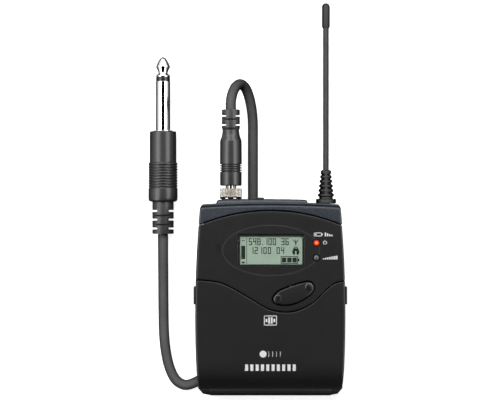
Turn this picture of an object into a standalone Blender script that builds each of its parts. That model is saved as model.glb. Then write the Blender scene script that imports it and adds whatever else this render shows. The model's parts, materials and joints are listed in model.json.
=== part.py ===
"""Bodypack radio transmitter for an electric guitar, lying on its belt clip with its cable plugged in.

All sizes are in millimetres and turned into metres when a mesh is made.  X is to the right, Y runs
from the foot of the casing to the antenna, and Z comes out of the front.  Y is counted from the
casing's foot: the empty `transmitter` puts the middle of the object's length at the world origin.
"""
import math

import bmesh
import bpy
from mathutils import Matrix, Vector

MM = 0.001
GAP = 0.3                      # clearance between touching pieces

# Casing
BODY_LENGTH = 82.45            # from the foot to the middle of the top edge
HALF_WIDTH = 32.0              # at the widest place
WIDEST_Y = 34.3
SIDE_RADIUS = 495.0
CROWN_RADIUS = 450.0           # of the top edge
BODY_DEPTH = 24.0
WALL = 1.8
BACK_WALL = 2.0
CLIP_WIRE = 2.0
BELT_ROOM = 5.6                # between the clip's wire and the casing
Z_BACK = CLIP_WIRE + BELT_ROOM
Z_FRONT = Z_BACK + BODY_DEPTH
Z_MID = (Z_BACK + Z_FRONT) / 2
Z_SPLIT = 22.0                 # parting plane of the rear shell
Z_SKIN = Z_FRONT - WALL        # inside of the front skin
SIDE_SKIN = 1.4
GROOVE = 0.55                  # visible joint between the casing's pieces
BACK_JOINT = -0.3              # cap's edge behind the parting plane, so that the joint isn't see-through

# Screws through the rear shell into the panel's bosses
BOSS_RADIUS = 2.0
BOSS_FOOT = 10.0
SCREW_BORE = 1.2
HEAD_RECESS = 2.2

# Joint between the cap and the panel: an arc over the middle of the casing
CAP_ARC_TOP = 78.9
CAP_ARC_RADIUS = 77.0

# Joint between the panel and the battery cover, from left to right
COVER_EDGE = [
    (-34.0, 49.7), (-25.0, 49.0), (-19.3, 47.6), (-13.3, 44.5), (-6.0, 40.1), (-0.5, 37.1),
    (5.5, 35.9), (11.5, 36.6), (17.6, 39.6), (22.5, 44.4), (27.0, 48.0), (34.0, 49.6),
]

# Battery cover hinge
HINGE_Y = 2.3
HINGE_Z = 24.6
BARREL_RADIUS = 2.2
BARREL_HALF = 25.8
PIN_RADIUS = 0.75
PIN_LENGTH = 5.2

# Cap furniture
TONGUE_REACH = 1.6             # of the cap's rim below its joint
TONGUE_WALL = 1.0
PLATFORM = (-22.6, 15.7)       # left and right end of the platform's top
PLATFORM_SLOPE = (0.9, 0.5)    # of its left and right flank
PLATFORM_TOP = 83.75
PLUG_X = -16.87
ANTENNA_X = 24.03
MUTE_X = (-5.3, -2.6)
MUTE_TRAVEL = 2.5

# Cable: both plugs and the lead between them
CORD_DIAMETER = 4.5
JACK_X = -46.8
JACK_Z = 6.5

# Batteries, two of the AA size
CELL_RADIUS = 7.2
CELL_LENGTH = 50.3
CELL_Z = 18.05
CELL_Y = (10.45, 25.25)

# Rocker
ROCKER_CENTRE = (9.85, 43.55)
ROCKER_TURN = math.radians(20.3)
ROCKER_AXIS_Z = 28.9


# ---------------------------------------------------------------- meshes and objects

def clear_scene():
    for obj in list(bpy.data.objects):
        bpy.data.objects.remove(obj, do_unlink=True)


def object_from(name, bm):
    """A new object, scaled to metres, from a bmesh in millimetres."""
    bmesh.ops.remove_doubles(bm, verts=bm.verts, dist=1e-4)
    bmesh.ops.recalc_face_normals(bm, faces=bm.faces)
    bmesh.ops.scale(bm, vec=(MM, MM, MM), verts=bm.verts)
    mesh = bpy.data.meshes.new(name)
    bm.to_mesh(mesh)
    bm.free()
    obj = bpy.data.objects.new(name, mesh)
    bpy.context.collection.objects.link(obj)
    return obj


def loft(name, rings):
    """A closed solid through rings of equally many points."""
    bm = bmesh.new()
    loops = [[bm.verts.new(point) for point in ring] for ring in rings]
    count = len(loops[0])
    for low, high in zip(loops, loops[1:]):
        for i in range(count):
            j = (i + 1) % count
            bm.faces.new((low[i], low[j], high[j], high[i]))
    bm.faces.new(loops[0])
    bm.faces.new(loops[-1])
    return object_from(name, bm)


def prism(name, outline, low, high):
    return loft(name, [[(x, y, z) for x, y in outline] for z in (low, high)])


def box(name, x, y, z, bevel=0.0):
    """A block from pairs of limits, with its edges bevelled where a bevel is given."""
    obj = prism(name, [(x[0], y[0]), (x[1], y[0]), (x[1], y[1]), (x[0], y[1])], *z)
    if bevel:
        bevel_edges(obj, bevel)
    return obj


def bevel_edges(obj, width, segments=1, angle=40):
    bm = bmesh.new()
    bm.from_mesh(obj.data)
    edges = [e for e in bm.edges if e.calc_face_angle(0.0) > math.radians(angle)]
    bmesh.ops.bevel(bm, geom=edges, offset=width * MM, segments=segments, affect="EDGES",
                    clamp_overlap=True)
    bm.to_mesh(obj.data)
    bm.free()


def turned(name, profile, origin, direction, steps=18, bore=None):
    """A solid of revolution from (radius, distance along the axis) pairs.

    `bore` is a second list of pairs, for a hole that starts at the profile's last distance.
    """
    axis = Vector(direction).normalized()
    side = axis.orthogonal().normalized()
    other = axis.cross(side)
    path = list(profile) + list(bore or [])

    def ring(radius, along):
        centre = Vector(origin) + axis * along
        turns = [2 * math.pi * i / steps for i in range(steps)]
        return [centre + (side * math.cos(a) + other * math.sin(a)) * radius for a in turns]

    return loft(name, [ring(radius, along) for radius, along in path])


def combine(target, tools, operation):
    """Boolean of a piece with tool solids, which are used up."""
    for tool in tools:
        modifier = target.modifiers.new(operation.lower(), "BOOLEAN")
        modifier.operation = operation
        modifier.solver = "EXACT"
        modifier.object = tool
    graph = bpy.context.evaluated_depsgraph_get()
    mesh = bpy.data.meshes.new_from_object(target.evaluated_get(graph))
    mesh.name = target.name
    target.modifiers.clear()
    spent = target.data
    target.data = mesh
    bpy.data.meshes.remove(spent)
    for tool in tools:
        bpy.data.objects.remove(tool, do_unlink=True)
    tidy(target.data)
    return target


def tidy(mesh):
    """Merge the slivers that a boolean leaves."""
    bm = bmesh.new()
    bm.from_mesh(mesh)
    bmesh.ops.remove_doubles(bm, verts=bm.verts, dist=5e-6)
    bmesh.ops.dissolve_degenerate(bm, edges=bm.edges, dist=5e-6)
    bm.to_mesh(mesh)
    bm.free()


def put_origin(obj, point):
    """Move an object's origin to a point in the casing's frame, leaving its shape where it is."""
    place = Vector(point) * MM
    obj.data.transform(Matrix.Translation(-place))
    obj.location = place


MATERIALS = {
    "casing": ((0.020, 0.020, 0.021), 0.45, 0.0),
    "cap": ((0.060, 0.072, 0.085), 0.55, 0.0),
    "button": ((0.030, 0.030, 0.031), 0.50, 0.0),
    "window": ((0.80, 0.88, 0.82), 0.05, 0.0),
    "display": ((0.33, 0.42, 0.33), 0.35, 0.0),
    "led": ((0.90, 0.10, 0.03), 0.20, 0.0),
    "led_off": ((0.22, 0.22, 0.22), 0.25, 0.0),
    "board": ((0.02, 0.16, 0.06), 0.40, 0.0),
    "steel": ((0.55, 0.55, 0.56), 0.30, 1.0),
    "nickel": ((0.62, 0.58, 0.53), 0.30, 1.0),
    "chrome": ((0.80, 0.80, 0.80), 0.08, 1.0),
    "gold": ((0.85, 0.62, 0.28), 0.25, 1.0),
    "cell": ((0.07, 0.10, 0.24), 0.35, 0.2),
    "rubber": ((0.028, 0.028, 0.028), 0.65, 0.0),
    "cord": ((0.055, 0.055, 0.056), 0.55, 0.0),
    "plug": ((0.045, 0.045, 0.046), 0.35, 0.0),
}


def material(name):
    made = bpy.data.materials.get(name)
    if made:
        return made
    colour, roughness, metallic = MATERIALS[name]
    made = bpy.data.materials.new(name)
    made.use_nodes = True
    shader = made.node_tree.nodes["Principled BSDF"]
    shader.inputs["Base Color"].default_value = (*colour, 1.0)
    shader.inputs["Roughness"].default_value = roughness
    shader.inputs["Metallic"].default_value = metallic
    return made


def finish(obj, slot, parent, smooth_angle=35):
    """Give a piece its material and its parent, and shade it smooth up to an angle."""
    obj.data.materials.clear()
    obj.data.materials.append(material(slot))
    if obj.type == "MESH":
        obj.data.shade_smooth()
        obj.data.set_sharp_from_angle(angle=math.radians(smooth_angle))
    obj.parent = parent
    return obj


# ---------------------------------------------------------------- outlines

def side_x(y):
    """Half-width of the casing at a height."""
    return HALF_WIDTH - SIDE_RADIUS + math.sqrt(SIDE_RADIUS ** 2 - (y - WIDEST_Y) ** 2)


def crown_y(x):
    """Top edge of the casing."""
    return BODY_LENGTH - CROWN_RADIUS + math.sqrt(CROWN_RADIUS ** 2 - x ** 2)


def casing_outline(side_in=0.0, end_in=0.0):
    """Outline of the casing, drawn in from the sides and from the ends."""
    foot, corner_low, corner_high, crown_end = 25.9, 28.7, 3.4, 28.2
    shoulder = 79.0
    half = [(foot, end_in), (corner_low - 0.5 * side_in, 0.7 + end_in)]
    for i in range(11):
        y = corner_high + 0.6 * end_in + (shoulder - corner_high - 0.6 * end_in) * i / 10
        half.append((side_x(y) - side_in, y))
    reach_x = side_x(shoulder) - side_in - crown_end + 0.8 * side_in
    reach_y = crown_y(crown_end) - end_in - shoulder
    for i in range(1, 4):
        a = math.radians(90 * i / 4)
        half.append((crown_end - 0.8 * side_in + reach_x * math.cos(a), shoulder + reach_y * math.sin(a)))
    for i in range(5):
        x = (crown_end - 0.8 * side_in) * (1 - i / 5)
        half.append((x, crown_y(x) - end_in))
    top = [(0.0, crown_y(0.0) - end_in)]
    return half + top + [(-x, y) for x, y in reversed(half)]


def cap_joint_y(x, offset=0.0):
    """Height of the joint between cap and panel, moved up by an offset."""
    return CAP_ARC_TOP + offset - CAP_ARC_RADIUS + math.sqrt(CAP_ARC_RADIUS ** 2 - x ** 2)


def cap_joint(offset, reach=34.0, count=24):
    return [(x, cap_joint_y(x, offset)) for x in (reach * (2 * i / count - 1) for i in range(count + 1))]


def spline(points, per_span, closed=False):
    """Points on a Catmull-Rom curve through the given ones."""
    count = len(points)
    spans = count if closed else count - 1

    def at(i):
        return Vector(points[i % count]) if closed else Vector(points[min(max(i, 0), count - 1)])

    curve = []
    for i in range(spans):
        a, b, c, d = at(i - 1), at(i), at(i + 1), at(i + 2)
        for k in range(per_span):
            t = k / per_span
            curve.append(0.5 * ((2 * b) + (c - a) * t + (2 * a - 5 * b + 4 * c - d) * t ** 2
                                + (3 * b - a - 3 * c + d) * t ** 3))
    if not closed:
        curve.append(at(count - 1))
    return curve


def shifted(line, distance):
    """An open line moved to its left side by a distance."""
    moved = []
    for i, point in enumerate(line):
        along = Vector(line[min(i + 1, len(line) - 1)]) - Vector(line[max(i - 1, 0)])
        normal = Vector((-along.y, along.x)).normalized()
        moved.append(tuple(Vector(point) + normal * distance))
    return moved


def grown(outline, distance):
    """A closed anticlockwise outline moved outwards by a distance."""
    count = len(outline)
    moved = []
    for i, point in enumerate(outline):
        along = Vector(outline[(i + 1) % count]) - Vector(outline[i - 1])
        normal = Vector((along.y, -along.x)).normalized()
        moved.append(tuple(Vector(point) + normal * distance))
    return moved


def cover_edge(offset):
    return shifted([tuple(p) for p in spline(COVER_EDGE, 3)], offset)


def slot_outline(x0, x1, y0, y1, steps=6):
    """A rectangle with fully round ends along its longer side."""
    wide = (x1 - x0) > (y1 - y0)
    radius = min(x1 - x0, y1 - y0) / 2
    first = (x1 - radius, (y0 + y1) / 2) if wide else ((x0 + x1) / 2, y1 - radius)
    second = (x0 + radius, (y0 + y1) / 2) if wide else ((x0 + x1) / 2, y0 + radius)
    start = -90 if wide else 0
    outline = []
    for (cx, cy), turn in ((first, start), (second, start + 180)):
        for i in range(steps + 1):
            a = math.radians(turn + 180 * i / steps)
            outline.append((cx + radius * math.cos(a), cy + radius * math.sin(a)))
    return outline


# ---------------------------------------------------------------- casing

def envelope(name):
    """The whole casing's outer form, rounded at the back and narrowly bevelled at the front."""
    levels = [
        (Z_BACK, 2.2, 2.2), (Z_BACK + 0.8, 0.8, 0.8), (Z_BACK + 2.4, 0.0, 0.0),
        (Z_FRONT - 1.5, 0.0, 0.0), (Z_FRONT - 0.4, 0.25, 0.5), (Z_FRONT, 0.8, 1.4),
    ]
    return loft(name, [[(x, y, z) for x, y in casing_outline(s, e)] for z, s, e in levels])


def region_above_cap_joint(offset):
    return cap_joint(offset) + [(34.0, 95.0), (-34.0, 95.0)]


def region_below_cap_joint(offset):
    return [(-34.0, -5.0), (34.0, -5.0)] + list(reversed(cap_joint(offset)))


def inner_outline(inset, low=None, high=None):
    """Inside of the side walls, between two heights."""
    low = WALL if low is None else low
    high = 95.0 if high is None else high
    levels = [low + (high - low) * i / 10 for i in range(11)]
    right = [(side_x(min(y, 80.0)) - inset, y) for y in levels]
    return right + [(-x, y) for x, y in reversed(right)]


def screw_places():
    return [(side * x, y) for x, y in ((26.0, 68.0), (26.6, 45.2)) for side in (-1, 1)]


def make_rear_housing(parent):
    """Tub behind the parting plane, with hinge lugs at the foot and clip lugs on the back."""
    housing = combine(envelope("rear_housing"),
                      [prism("region", region_below_cap_joint(BACK_JOINT - GAP), 0.0, Z_SPLIT)], "INTERSECT")
    cavity = prism("cavity", inner_outline(WALL, WALL), Z_BACK + BACK_WALL, 40.0)
    corner = prism("corner", [(-29.0, -1), (-29.0, 4.9), (-33, 4.9), (-33, -1)], Z_SPLIT - 6, Z_SPLIT + 1)
    mirror = prism("corner", [(29.0, -1), (33, -1), (33, 4.9), (29.0, 4.9)], Z_SPLIT - 6, Z_SPLIT + 1)
    combine(cavity, [corner, mirror], "DIFFERENCE")
    combine(housing, [cavity], "DIFFERENCE")
    lug_start, lug_end = BARREL_HALF + GAP, BARREL_HALF + 5.0
    for side in (-1, 1):
        start = (side * lug_start, HINGE_Y, HINGE_Z)
        length = lug_end - lug_start
        lug = turned("lug", [(BARREL_RADIUS, 0), (BARREL_RADIUS, length)], start, (side, 0, 0), 20)
        x = sorted((side * lug_start, side * lug_end))
        foot = box("foot", x, (HINGE_Y - BARREL_RADIUS, HINGE_Y + BARREL_RADIUS), (Z_SPLIT - 0.5, HINGE_Z))
        combine(lug, [foot], "UNION")
        combine(lug, [envelope("limit")], "INTERSECT")
        combine(housing, [lug], "UNION")
        hole = turned("hole", [(PIN_RADIUS + GAP, 0), (PIN_RADIUS + GAP, 6)],
                      (side * (BARREL_HALF - 2.2), HINGE_Y, HINGE_Z), (side, 0, 0), 12)
        combine(housing, [hole], "DIFFERENCE")
        make_clip_lug(housing, side)
    for x, y in screw_places():
        head = turned("head", [(HEAD_RECESS, 0), (HEAD_RECESS, 1.4)], (x, y, Z_BACK - 0.3), (0, 0, 1), 16)
        shank = turned("shank", [(SCREW_BORE, 0), (SCREW_BORE, 4)], (x, y, Z_BACK), (0, 0, 1), 12)
        combine(housing, [head, shank], "DIFFERENCE")
    return finish(housing, "casing", parent)


CLIP_PIVOT_Y = 70.0
CLIP_PIVOT_Z = 5.2
CLIP_HALF = 24.0               # from the middle to the centre of the clip's leg


def make_clip_lug(housing, side):
    """Round-nosed lug behind the casing that takes one end of the clip's wire."""
    x = sorted((side * 18.6, side * (CLIP_HALF - 1.4)))
    nose = turned("nose", [(2.0, 0), (2.0, x[1] - x[0])], (x[0], CLIP_PIVOT_Y, CLIP_PIVOT_Z), (1, 0, 0), 16)
    web = box("web", x, (CLIP_PIVOT_Y - 2.0, CLIP_PIVOT_Y + 2.0), (CLIP_PIVOT_Z, Z_BACK + 0.8))
    combine(nose, [web], "UNION")
    combine(housing, [nose], "UNION")
    radius = CLIP_WIRE / 2 + GAP
    hole = turned("hole", [(radius, 0), (radius, 5.2)],
                  (side * (CLIP_HALF - 0.4), CLIP_PIVOT_Y, CLIP_PIVOT_Z), (-side, 0, 0), 12)
    combine(housing, [hole], "DIFFERENCE")


def rocker_outline(margin=0.0):
    """Leaf-shaped outline of the rocker, grown by a margin."""
    leaf = [(1.15, 41.8), (2.3, 39.7), (5.6, 39.0), (8.6, 39.2), (11.6, 40.15), (14.7, 41.85), (17.1, 43.8),
            (18.4, 46.3), (17.0, 48.4), (14.2, 48.45), (8.0, 46.55), (3.6, 44.6)]
    outline = [tuple(p) for p in spline(leaf, 4, closed=True)]
    return grown(outline, margin) if margin else outline


def make_front_panel(parent):
    """Front shell between the cap and the battery cover, with a deck that dips under the cover."""
    edge = cover_edge(GROOVE / 2)
    region = edge + list(reversed(cap_joint(-GROOVE / 2)))
    panel = combine(envelope("front_panel"), [prism("region", region, Z_SPLIT + GAP, 40.0)], "INTERSECT")
    inside = cover_edge(GROOVE / 2 + 1.1) + [(34.0, 95.0), (-34.0, 95.0)]
    cavity = prism("cavity", inside, 0.0, Z_SKIN)
    bounds = prism("bounds", inner_outline(SIDE_SKIN, 30.0), -1.0, 39.0)
    combine(cavity, [bounds], "INTERSECT")
    combine(panel, [cavity], "DIFFERENCE")
    add_deck(panel)
    for x, y in screw_places():
        top = Z_SKIN + 0.5 if y > 60 else Z_SPLIT + 1.5
        boss = turned("boss", [(BOSS_RADIUS, 0), (BOSS_RADIUS, top - BOSS_FOOT)], (x, y, BOSS_FOOT),
                      (0, 0, 1), 12)
        combine(panel, [boss], "UNION")
    for x, y in screw_places():
        hole = turned("hole", [(SCREW_BORE, 0), (SCREW_BORE, 11.5)], (x, y, BOSS_FOOT - 1.0),
                      (0, 0, 1), 12)
        combine(panel, [hole], "DIFFERENCE")
    add_rocker_bridge(panel)
    cut_panel_openings(panel)
    return finish(panel, "casing", parent)


def add_deck(panel):
    """Recessed floor above the batteries that holds the two buttons under the cover."""
    low = 34.2
    limit = side_x(40.0) - 2.0
    top = [(x, y) for x, y in cover_edge(GROOVE / 2 + 0.8) if abs(x) < limit]
    deck = prism("deck", [(-limit, low), (limit, low)] + list(reversed(top)), Z_SPLIT + 0.6, Z_SPLIT + 2.0)
    combine(panel, [deck], "UNION")
    for x, y in BUTTON_PLACES.values():
        hole = turned("hole", [(2.5, 0), (2.5, 4)], (x, y, Z_SPLIT - 1), (0, 0, 1), 16)
        combine(panel, [hole], "DIFFERENCE")


def rocker_frame_box(name, u, v, z):
    """A block in the rocker's own frame: u along it, v along its axis."""
    block = box(name, u, v, z)
    turn = Matrix.Rotation(ROCKER_TURN, 4, "Z")
    shift = Matrix.Translation(Vector((*ROCKER_CENTRE, 0.0)) * MM)
    block.data.transform(shift @ turn)
    return block


def add_rocker_bridge(panel):
    """Bar across the rocker's opening that its keel rocks on."""
    bar = rocker_frame_box("bar", (-1.2, 1.2), (-5.6, 6.8), (26.8, 27.8))
    post = rocker_frame_box("post", (-1.2, 1.2), (5.6, 6.8), (26.8, Z_SKIN + 0.4))
    foot = rocker_frame_box("foot", (-1.2, 1.2), (-6.0, -5.2), (26.8, Z_SKIN + 0.4))
    combine(bar, [post, foot], "UNION")
    combine(panel, [bar], "UNION")


DISPLAY_X = 0.3
DISPLAY_Y = 62.0
WINDOW_HALF = (14.0, 6.75)
LED_X = 19.45
LED_Y = {"led_on_lens": 65.2, "led_peak_lens": 58.9}
LED_BORE = 1.45
INFRARED = (-22.1, 63.1)


def cut_panel_openings(panel):
    rebate = box("rebate", (DISPLAY_X - WINDOW_HALF[0], DISPLAY_X + WINDOW_HALF[0]),
                 (DISPLAY_Y - WINDOW_HALF[1], DISPLAY_Y + WINDOW_HALF[1]), (Z_SKIN + 0.5, Z_FRONT + 1))
    hole = box("hole", (DISPLAY_X - WINDOW_HALF[0] + 0.8, DISPLAY_X + WINDOW_HALF[0] - 0.8),
               (DISPLAY_Y - WINDOW_HALF[1] + 0.8, DISPLAY_Y + WINDOW_HALF[1] - 0.8), (Z_SKIN - 1, Z_FRONT))
    leaf = prism("leaf", rocker_outline(0.5), Z_SKIN - 0.8, Z_FRONT + 1)
    slot = prism("slot", slot_outline(INFRARED[0] - 0.8, INFRARED[0] + 0.8, INFRARED[1] - 1.9,
                                      INFRARED[1] + 1.9), Z_SKIN - 1, Z_FRONT + 1)
    tools = [rebate, hole, leaf, slot]
    for y in LED_Y.values():
        tools.append(turned("hole", [(LED_BORE, 0), (LED_BORE, 5)], (LED_X, y, Z_SKIN - 1), (0, 0, 1), 16))
    combine(panel, tools, "DIFFERENCE")


def make_tongue():
    """Block for the cap's rim, which reaches into the panel and the rear shell behind their joint."""
    tongue = prism("tongue", inner_outline(WALL + GAP, 60.0, 81.0), Z_BACK + BACK_WALL + GAP, Z_SKIN - GAP)
    band = prism("band", cap_joint(-TONGUE_REACH) + list(reversed(cap_joint(TONGUE_REACH))), 0.0, 40.0)
    return combine(tongue, [band], "INTERSECT")


def make_top_cap(parent):
    """End cap over the full depth, with the raised platform for the socket and the mute switch."""
    region = prism("region", region_above_cap_joint(GROOVE / 2), 0.0, 40.0)
    combine(region, [prism("behind", region_above_cap_joint(BACK_JOINT), 0.0, Z_SPLIT)], "UNION")
    cap = combine(envelope("top_cap"), [region], "INTERSECT")
    combine(cap, [make_tongue()], "UNION")
    inset = WALL + GAP + TONGUE_WALL
    lift = BACK_WALL + GAP + TONGUE_WALL
    cavity = prism("cavity", inner_outline(inset, 60.0, 80.2), Z_BACK + lift, Z_SKIN - GAP - TONGUE_WALL)
    combine(cap, [cavity], "DIFFERENCE")
    low, high = PLATFORM
    flank_low, flank_high = PLATFORM_SLOPE
    outline = [(low - flank_low, 80.9), (high + flank_high, 80.9), (high, PLATFORM_TOP - 0.3),
               ((low + high) / 2, PLATFORM_TOP), (low, PLATFORM_TOP - 0.3)]
    platform = prism("platform", outline, Z_MID - 8.0, Z_MID + 8.0)
    bevel_edges(platform, 0.4, angle=70)
    combine(cap, [platform], "UNION")
    socket = turned("hole", [(4.2, 0), (4.2, 20)], (PLUG_X, 70.0, Z_MID), (0, 1, 0))
    antenna = turned("hole", [(1.9, 0), (1.9, 20)], (ANTENNA_X, 70.0, Z_MID), (0, 1, 0), 16)
    slot = box("slot", (MUTE_X[0] - GAP - MUTE_TRAVEL, MUTE_X[1] + GAP), (78.0, 90.0),
               (Z_MID - 1.5, Z_MID + 1.5))
    combine(cap, [socket, antenna, slot], "DIFFERENCE")
    return finish(cap, "cap", parent)


def make_battery_cover(parent):
    """Front door below the panel: skin, side walls, rolled-off foot, hinge barrel and spring ribs."""
    edge = cover_edge(-GROOVE / 2)
    region = [(-34.0, HINGE_Y + 1.1), (34.0, HINGE_Y + 1.1)] + list(reversed(edge))
    cover = combine(envelope("battery_cover"), [prism("region", region, Z_SPLIT + GAP, 40.0)], "INTERSECT")
    cavity = prism("cavity", inner_outline(SIDE_SKIN, -2.0, 60.0), 0.0, Z_SKIN)
    combine(cover, [cavity], "DIFFERENCE")
    round_off(cover)
    clearance = turned("clearance", [(BARREL_RADIUS + 0.4, 0), (BARREL_RADIUS + 0.4, 70)],
                       (-35.0, HINGE_Y, HINGE_Z), (1, 0, 0), 20)
    corner = box("corner", (-34.0, 34.0), (-1.0, HINGE_Y + 2.7), (0.0, HINGE_Z + 0.4))
    combine(cover, [clearance, corner], "DIFFERENCE")
    barrel = turned("barrel", [(BARREL_RADIUS, 0), (BARREL_RADIUS, 2 * BARREL_HALF)],
                    (-BARREL_HALF, HINGE_Y, HINGE_Z), (1, 0, 0), 20)
    strap = box("strap", (-BARREL_HALF, BARREL_HALF), (HINGE_Y + 0.4, HINGE_Y + 2.2),
                (HINGE_Z + 0.6, HINGE_Z + 3.0))
    combine(cover, [barrel], "UNION")
    combine(cover, [strap], "UNION")
    for side in (-1, 1):
        hole = turned("hole", [(PIN_RADIUS + GAP, 0), (PIN_RADIUS + GAP, 4)],
                      (side * (BARREL_HALF + 1), HINGE_Y, HINGE_Z), (-side, 0, 0), 12)
        opening = box("opening", sorted((side * 28.0, side * 34.0)), (CATCH_Y - 4.15, CATCH_Y + 4.15),
                      (CATCH_Z[0] - GAP, CATCH_Z[1] + GAP))
        combine(cover, [hole, opening], "DIFFERENCE")
        rib = box("rib", sorted((side * 25.2, side * 26.0)), (CATCH_Y - 3.0, CATCH_Y + 3.0),
                  (24.6, Z_SKIN + 0.4))
        combine(cover, [rib], "UNION")
    put_origin(cover, (0.0, HINGE_Y, HINGE_Z))
    return finish(cover, "casing", parent)


def round_off(cover):
    """Roll the skin down towards the hinge, inside and out, with one arc each."""
    end_y, start_y, drop = HINGE_Y + 1.1, 7.6, 4.2
    arc = []
    for i in range(7):
        a = math.radians(90 * i / 6)
        arc.append((start_y - (start_y - end_y) * math.sin(a), Z_FRONT - drop * (1 - math.cos(a))))
    outside = [(start_y, Z_FRONT + 2)] + arc + [(end_y - 3, arc[-1][1]), (end_y - 3, Z_FRONT + 2)]
    skin = [(y, z - WALL) for y, z in arc]
    band = arc + list(reversed(skin))
    rings = [[(x, y, z) for y, z in band] for x in (-30.4, 30.4)]
    backing = loft("backing", rings)
    combine(cover, [backing], "UNION")
    combine(cover, [loft("outside", [[(x, y, z) for y, z in outside] for x in (-36.0, 36.0)])], "DIFFERENCE")
    combine(cover, [envelope("limit")], "INTERSECT")


# ---------------------------------------------------------------- controls

CATCH_Y = 42.75
CATCH_Z = (24.6, 28.6)
CATCH_TRAVEL = 0.8
CATCH_HALF = 3.8               # half the height of the block
CATCH_INSIDE = 29.9            # from the middle to the block's inner face
FLANGE_HALF = 4.6
FLANGE_INSIDE = 29.2
FLANGE_OUTSIDE = 30.1
BUTTON_PLACES = {"set_button": (-19.6, 41.2), "power_button": (-12.4, 38.6)}
BUTTON_TRAVEL = 0.5


def make_catch(side, parent):
    """Sprung button in the cover's side wall: a ribbed block with a flange behind the wall."""
    name = "catch_right" if side > 0 else "catch_left"
    face = HALF_WIDTH + 0.65
    x = sorted((side * CATCH_INSIDE, side * face))
    block = box(name, x, (CATCH_Y - CATCH_HALF, CATCH_Y + CATCH_HALF), CATCH_Z, bevel=0.35)
    flange = box("flange", sorted((side * FLANGE_INSIDE, side * FLANGE_OUTSIDE)),
                 (CATCH_Y - FLANGE_HALF, CATCH_Y + FLANGE_HALF), (CATCH_Z[0] - 0.25, CATCH_Z[1] + 0.7))
    combine(block, [flange], "UNION")
    put_origin(block, (side * face, CATCH_Y, sum(CATCH_Z) / 2))
    return finish(block, "button", parent)


def coil(name, radius, wire, turns, length, start, direction, parent):
    """A closed helical spring solid along an axis."""
    axis = Vector(direction).normalized()
    side = axis.orthogonal().normalized()
    other = axis.cross(side)
    per_turn, sides = 10, 5
    rings = []
    steps = int(turns * per_turn)
    for i in range(steps + 1):
        a = 2 * math.pi * i / per_turn
        out = side * math.cos(a) + other * math.sin(a)
        centre = Vector(start) + out * radius + axis * (wire / 2 + (length - wire) * i / steps)
        rings.append([centre + (out * math.cos(b) + axis * math.sin(b)) * wire / 2
                      for b in (2 * math.pi * k / sides for k in range(sides))])
    return finish(loft(name, rings), "steel", parent)


def make_rocker(parent):
    """Leaf-shaped rocker with a keel along its pivot line."""
    outline = rocker_outline()
    rings = [[(x, y, z) for x, y in grown(outline, -inset)] if inset else [(x, y, z) for x, y in outline]
             for z, inset in ((ROCKER_AXIS_Z + 0.1, 0.0), (31.7, 0.0), (32.05, 0.5))]
    rocker = loft("rocker_button", rings)
    along = Vector((-math.sin(ROCKER_TURN), math.cos(ROCKER_TURN), 0.0))
    start = Vector((*ROCKER_CENTRE, ROCKER_AXIS_Z)) - along * 3.4
    keel = turned("keel", [(0.8, 0), (0.8, 7.2)], start, along, 12)
    combine(rocker, [keel], "UNION")
    put_origin(rocker, (*ROCKER_CENTRE, ROCKER_AXIS_Z))
    return finish(rocker, "button", parent)


def rocker_point(u, v=0.0):
    """A place in the casing from the rocker's own frame."""
    c, s = math.cos(ROCKER_TURN), math.sin(ROCKER_TURN)
    return ROCKER_CENTRE[0] + u * c - v * s, ROCKER_CENTRE[1] + u * s + v * c


def make_tact_switch(name, x, y, z, parent):
    """Square switch body with its round plunger."""
    body = box(name, (x - 2.2, x + 2.2), (y - 2.2, y + 2.2), (z, z + 1.0), bevel=0.15)
    plunger = turned("plunger", [(1.0, 0), (1.0, 0.7)], (x, y, z + 0.8), (0, 0, 1), 12)
    combine(body, [plunger], "UNION")
    return finish(body, "steel", parent)


def make_deck_button(name, parent):
    x, y = BUTTON_PLACES[name]
    profile = [(2.2, 0), (2.2, 4.2), (1.9, 4.5)]
    button = turned(name, profile, (x, y, 21.1), (0, 0, 1), 16)
    put_origin(button, (x, y, 25.6))
    return finish(button, "button", parent)


def make_mute_switch(parent):
    """Slider in the platform and the switch below it."""
    body = box("mute_switch", (-11.2, 1.8), (73.6, 77.4), (Z_MID - 3.0, Z_MID + 3.0), bevel=0.2)
    finish(body, "steel", parent)
    knob = box("mute_knob", MUTE_X, (77.8, 84.5), (Z_MID - 1.2, Z_MID + 1.2), bevel=0.2)
    put_origin(knob, (MUTE_X[0], 84.5, Z_MID))
    finish(knob, "button", parent)


# ---------------------------------------------------------------- display and electronics

def make_display(parent):
    x, y = DISPLAY_X, DISPLAY_Y
    half = (WINDOW_HALF[0] - 0.15, WINDOW_HALF[1] - 0.15)
    window = box("display_window", (x - half[0], x + half[0]), (y - half[1], y + half[1]),
                 (Z_SKIN + 0.8, Z_FRONT - 0.3), bevel=0.15)
    finish(window, "window", parent)
    module = box("lcd_module", (x - 15.3, x + 15.3), (y - 8.6, y + 8.6), (26.8, Z_SKIN - 0.3), bevel=0.2)
    finish(module, "display", parent)
    slit = slot_outline(INFRARED[0] - 0.5, INFRARED[0] + 0.5, INFRARED[1] - 1.6, INFRARED[1] + 1.6)
    infrared = prism("infrared_window", slit, Z_SKIN - 0.2, Z_FRONT - 0.3)
    finish(infrared, "casing", parent)
    for name, height in LED_Y.items():
        dome = [(1.2 * math.cos(a), 3.0 + 0.7 * math.sin(a)) for a in (0.0, 0.5, 1.0)]
        lens = turned(name, [(1.75, 0), (1.75, 0.8), (1.2, 0.8)] + dome + [(0.2, 3.7)],
                      (LED_X, height, Z_SKIN - 1.3), (0, 0, 1), 12)
        finish(lens, "led" if name == "led_on_lens" else "led_off", parent)


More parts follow.
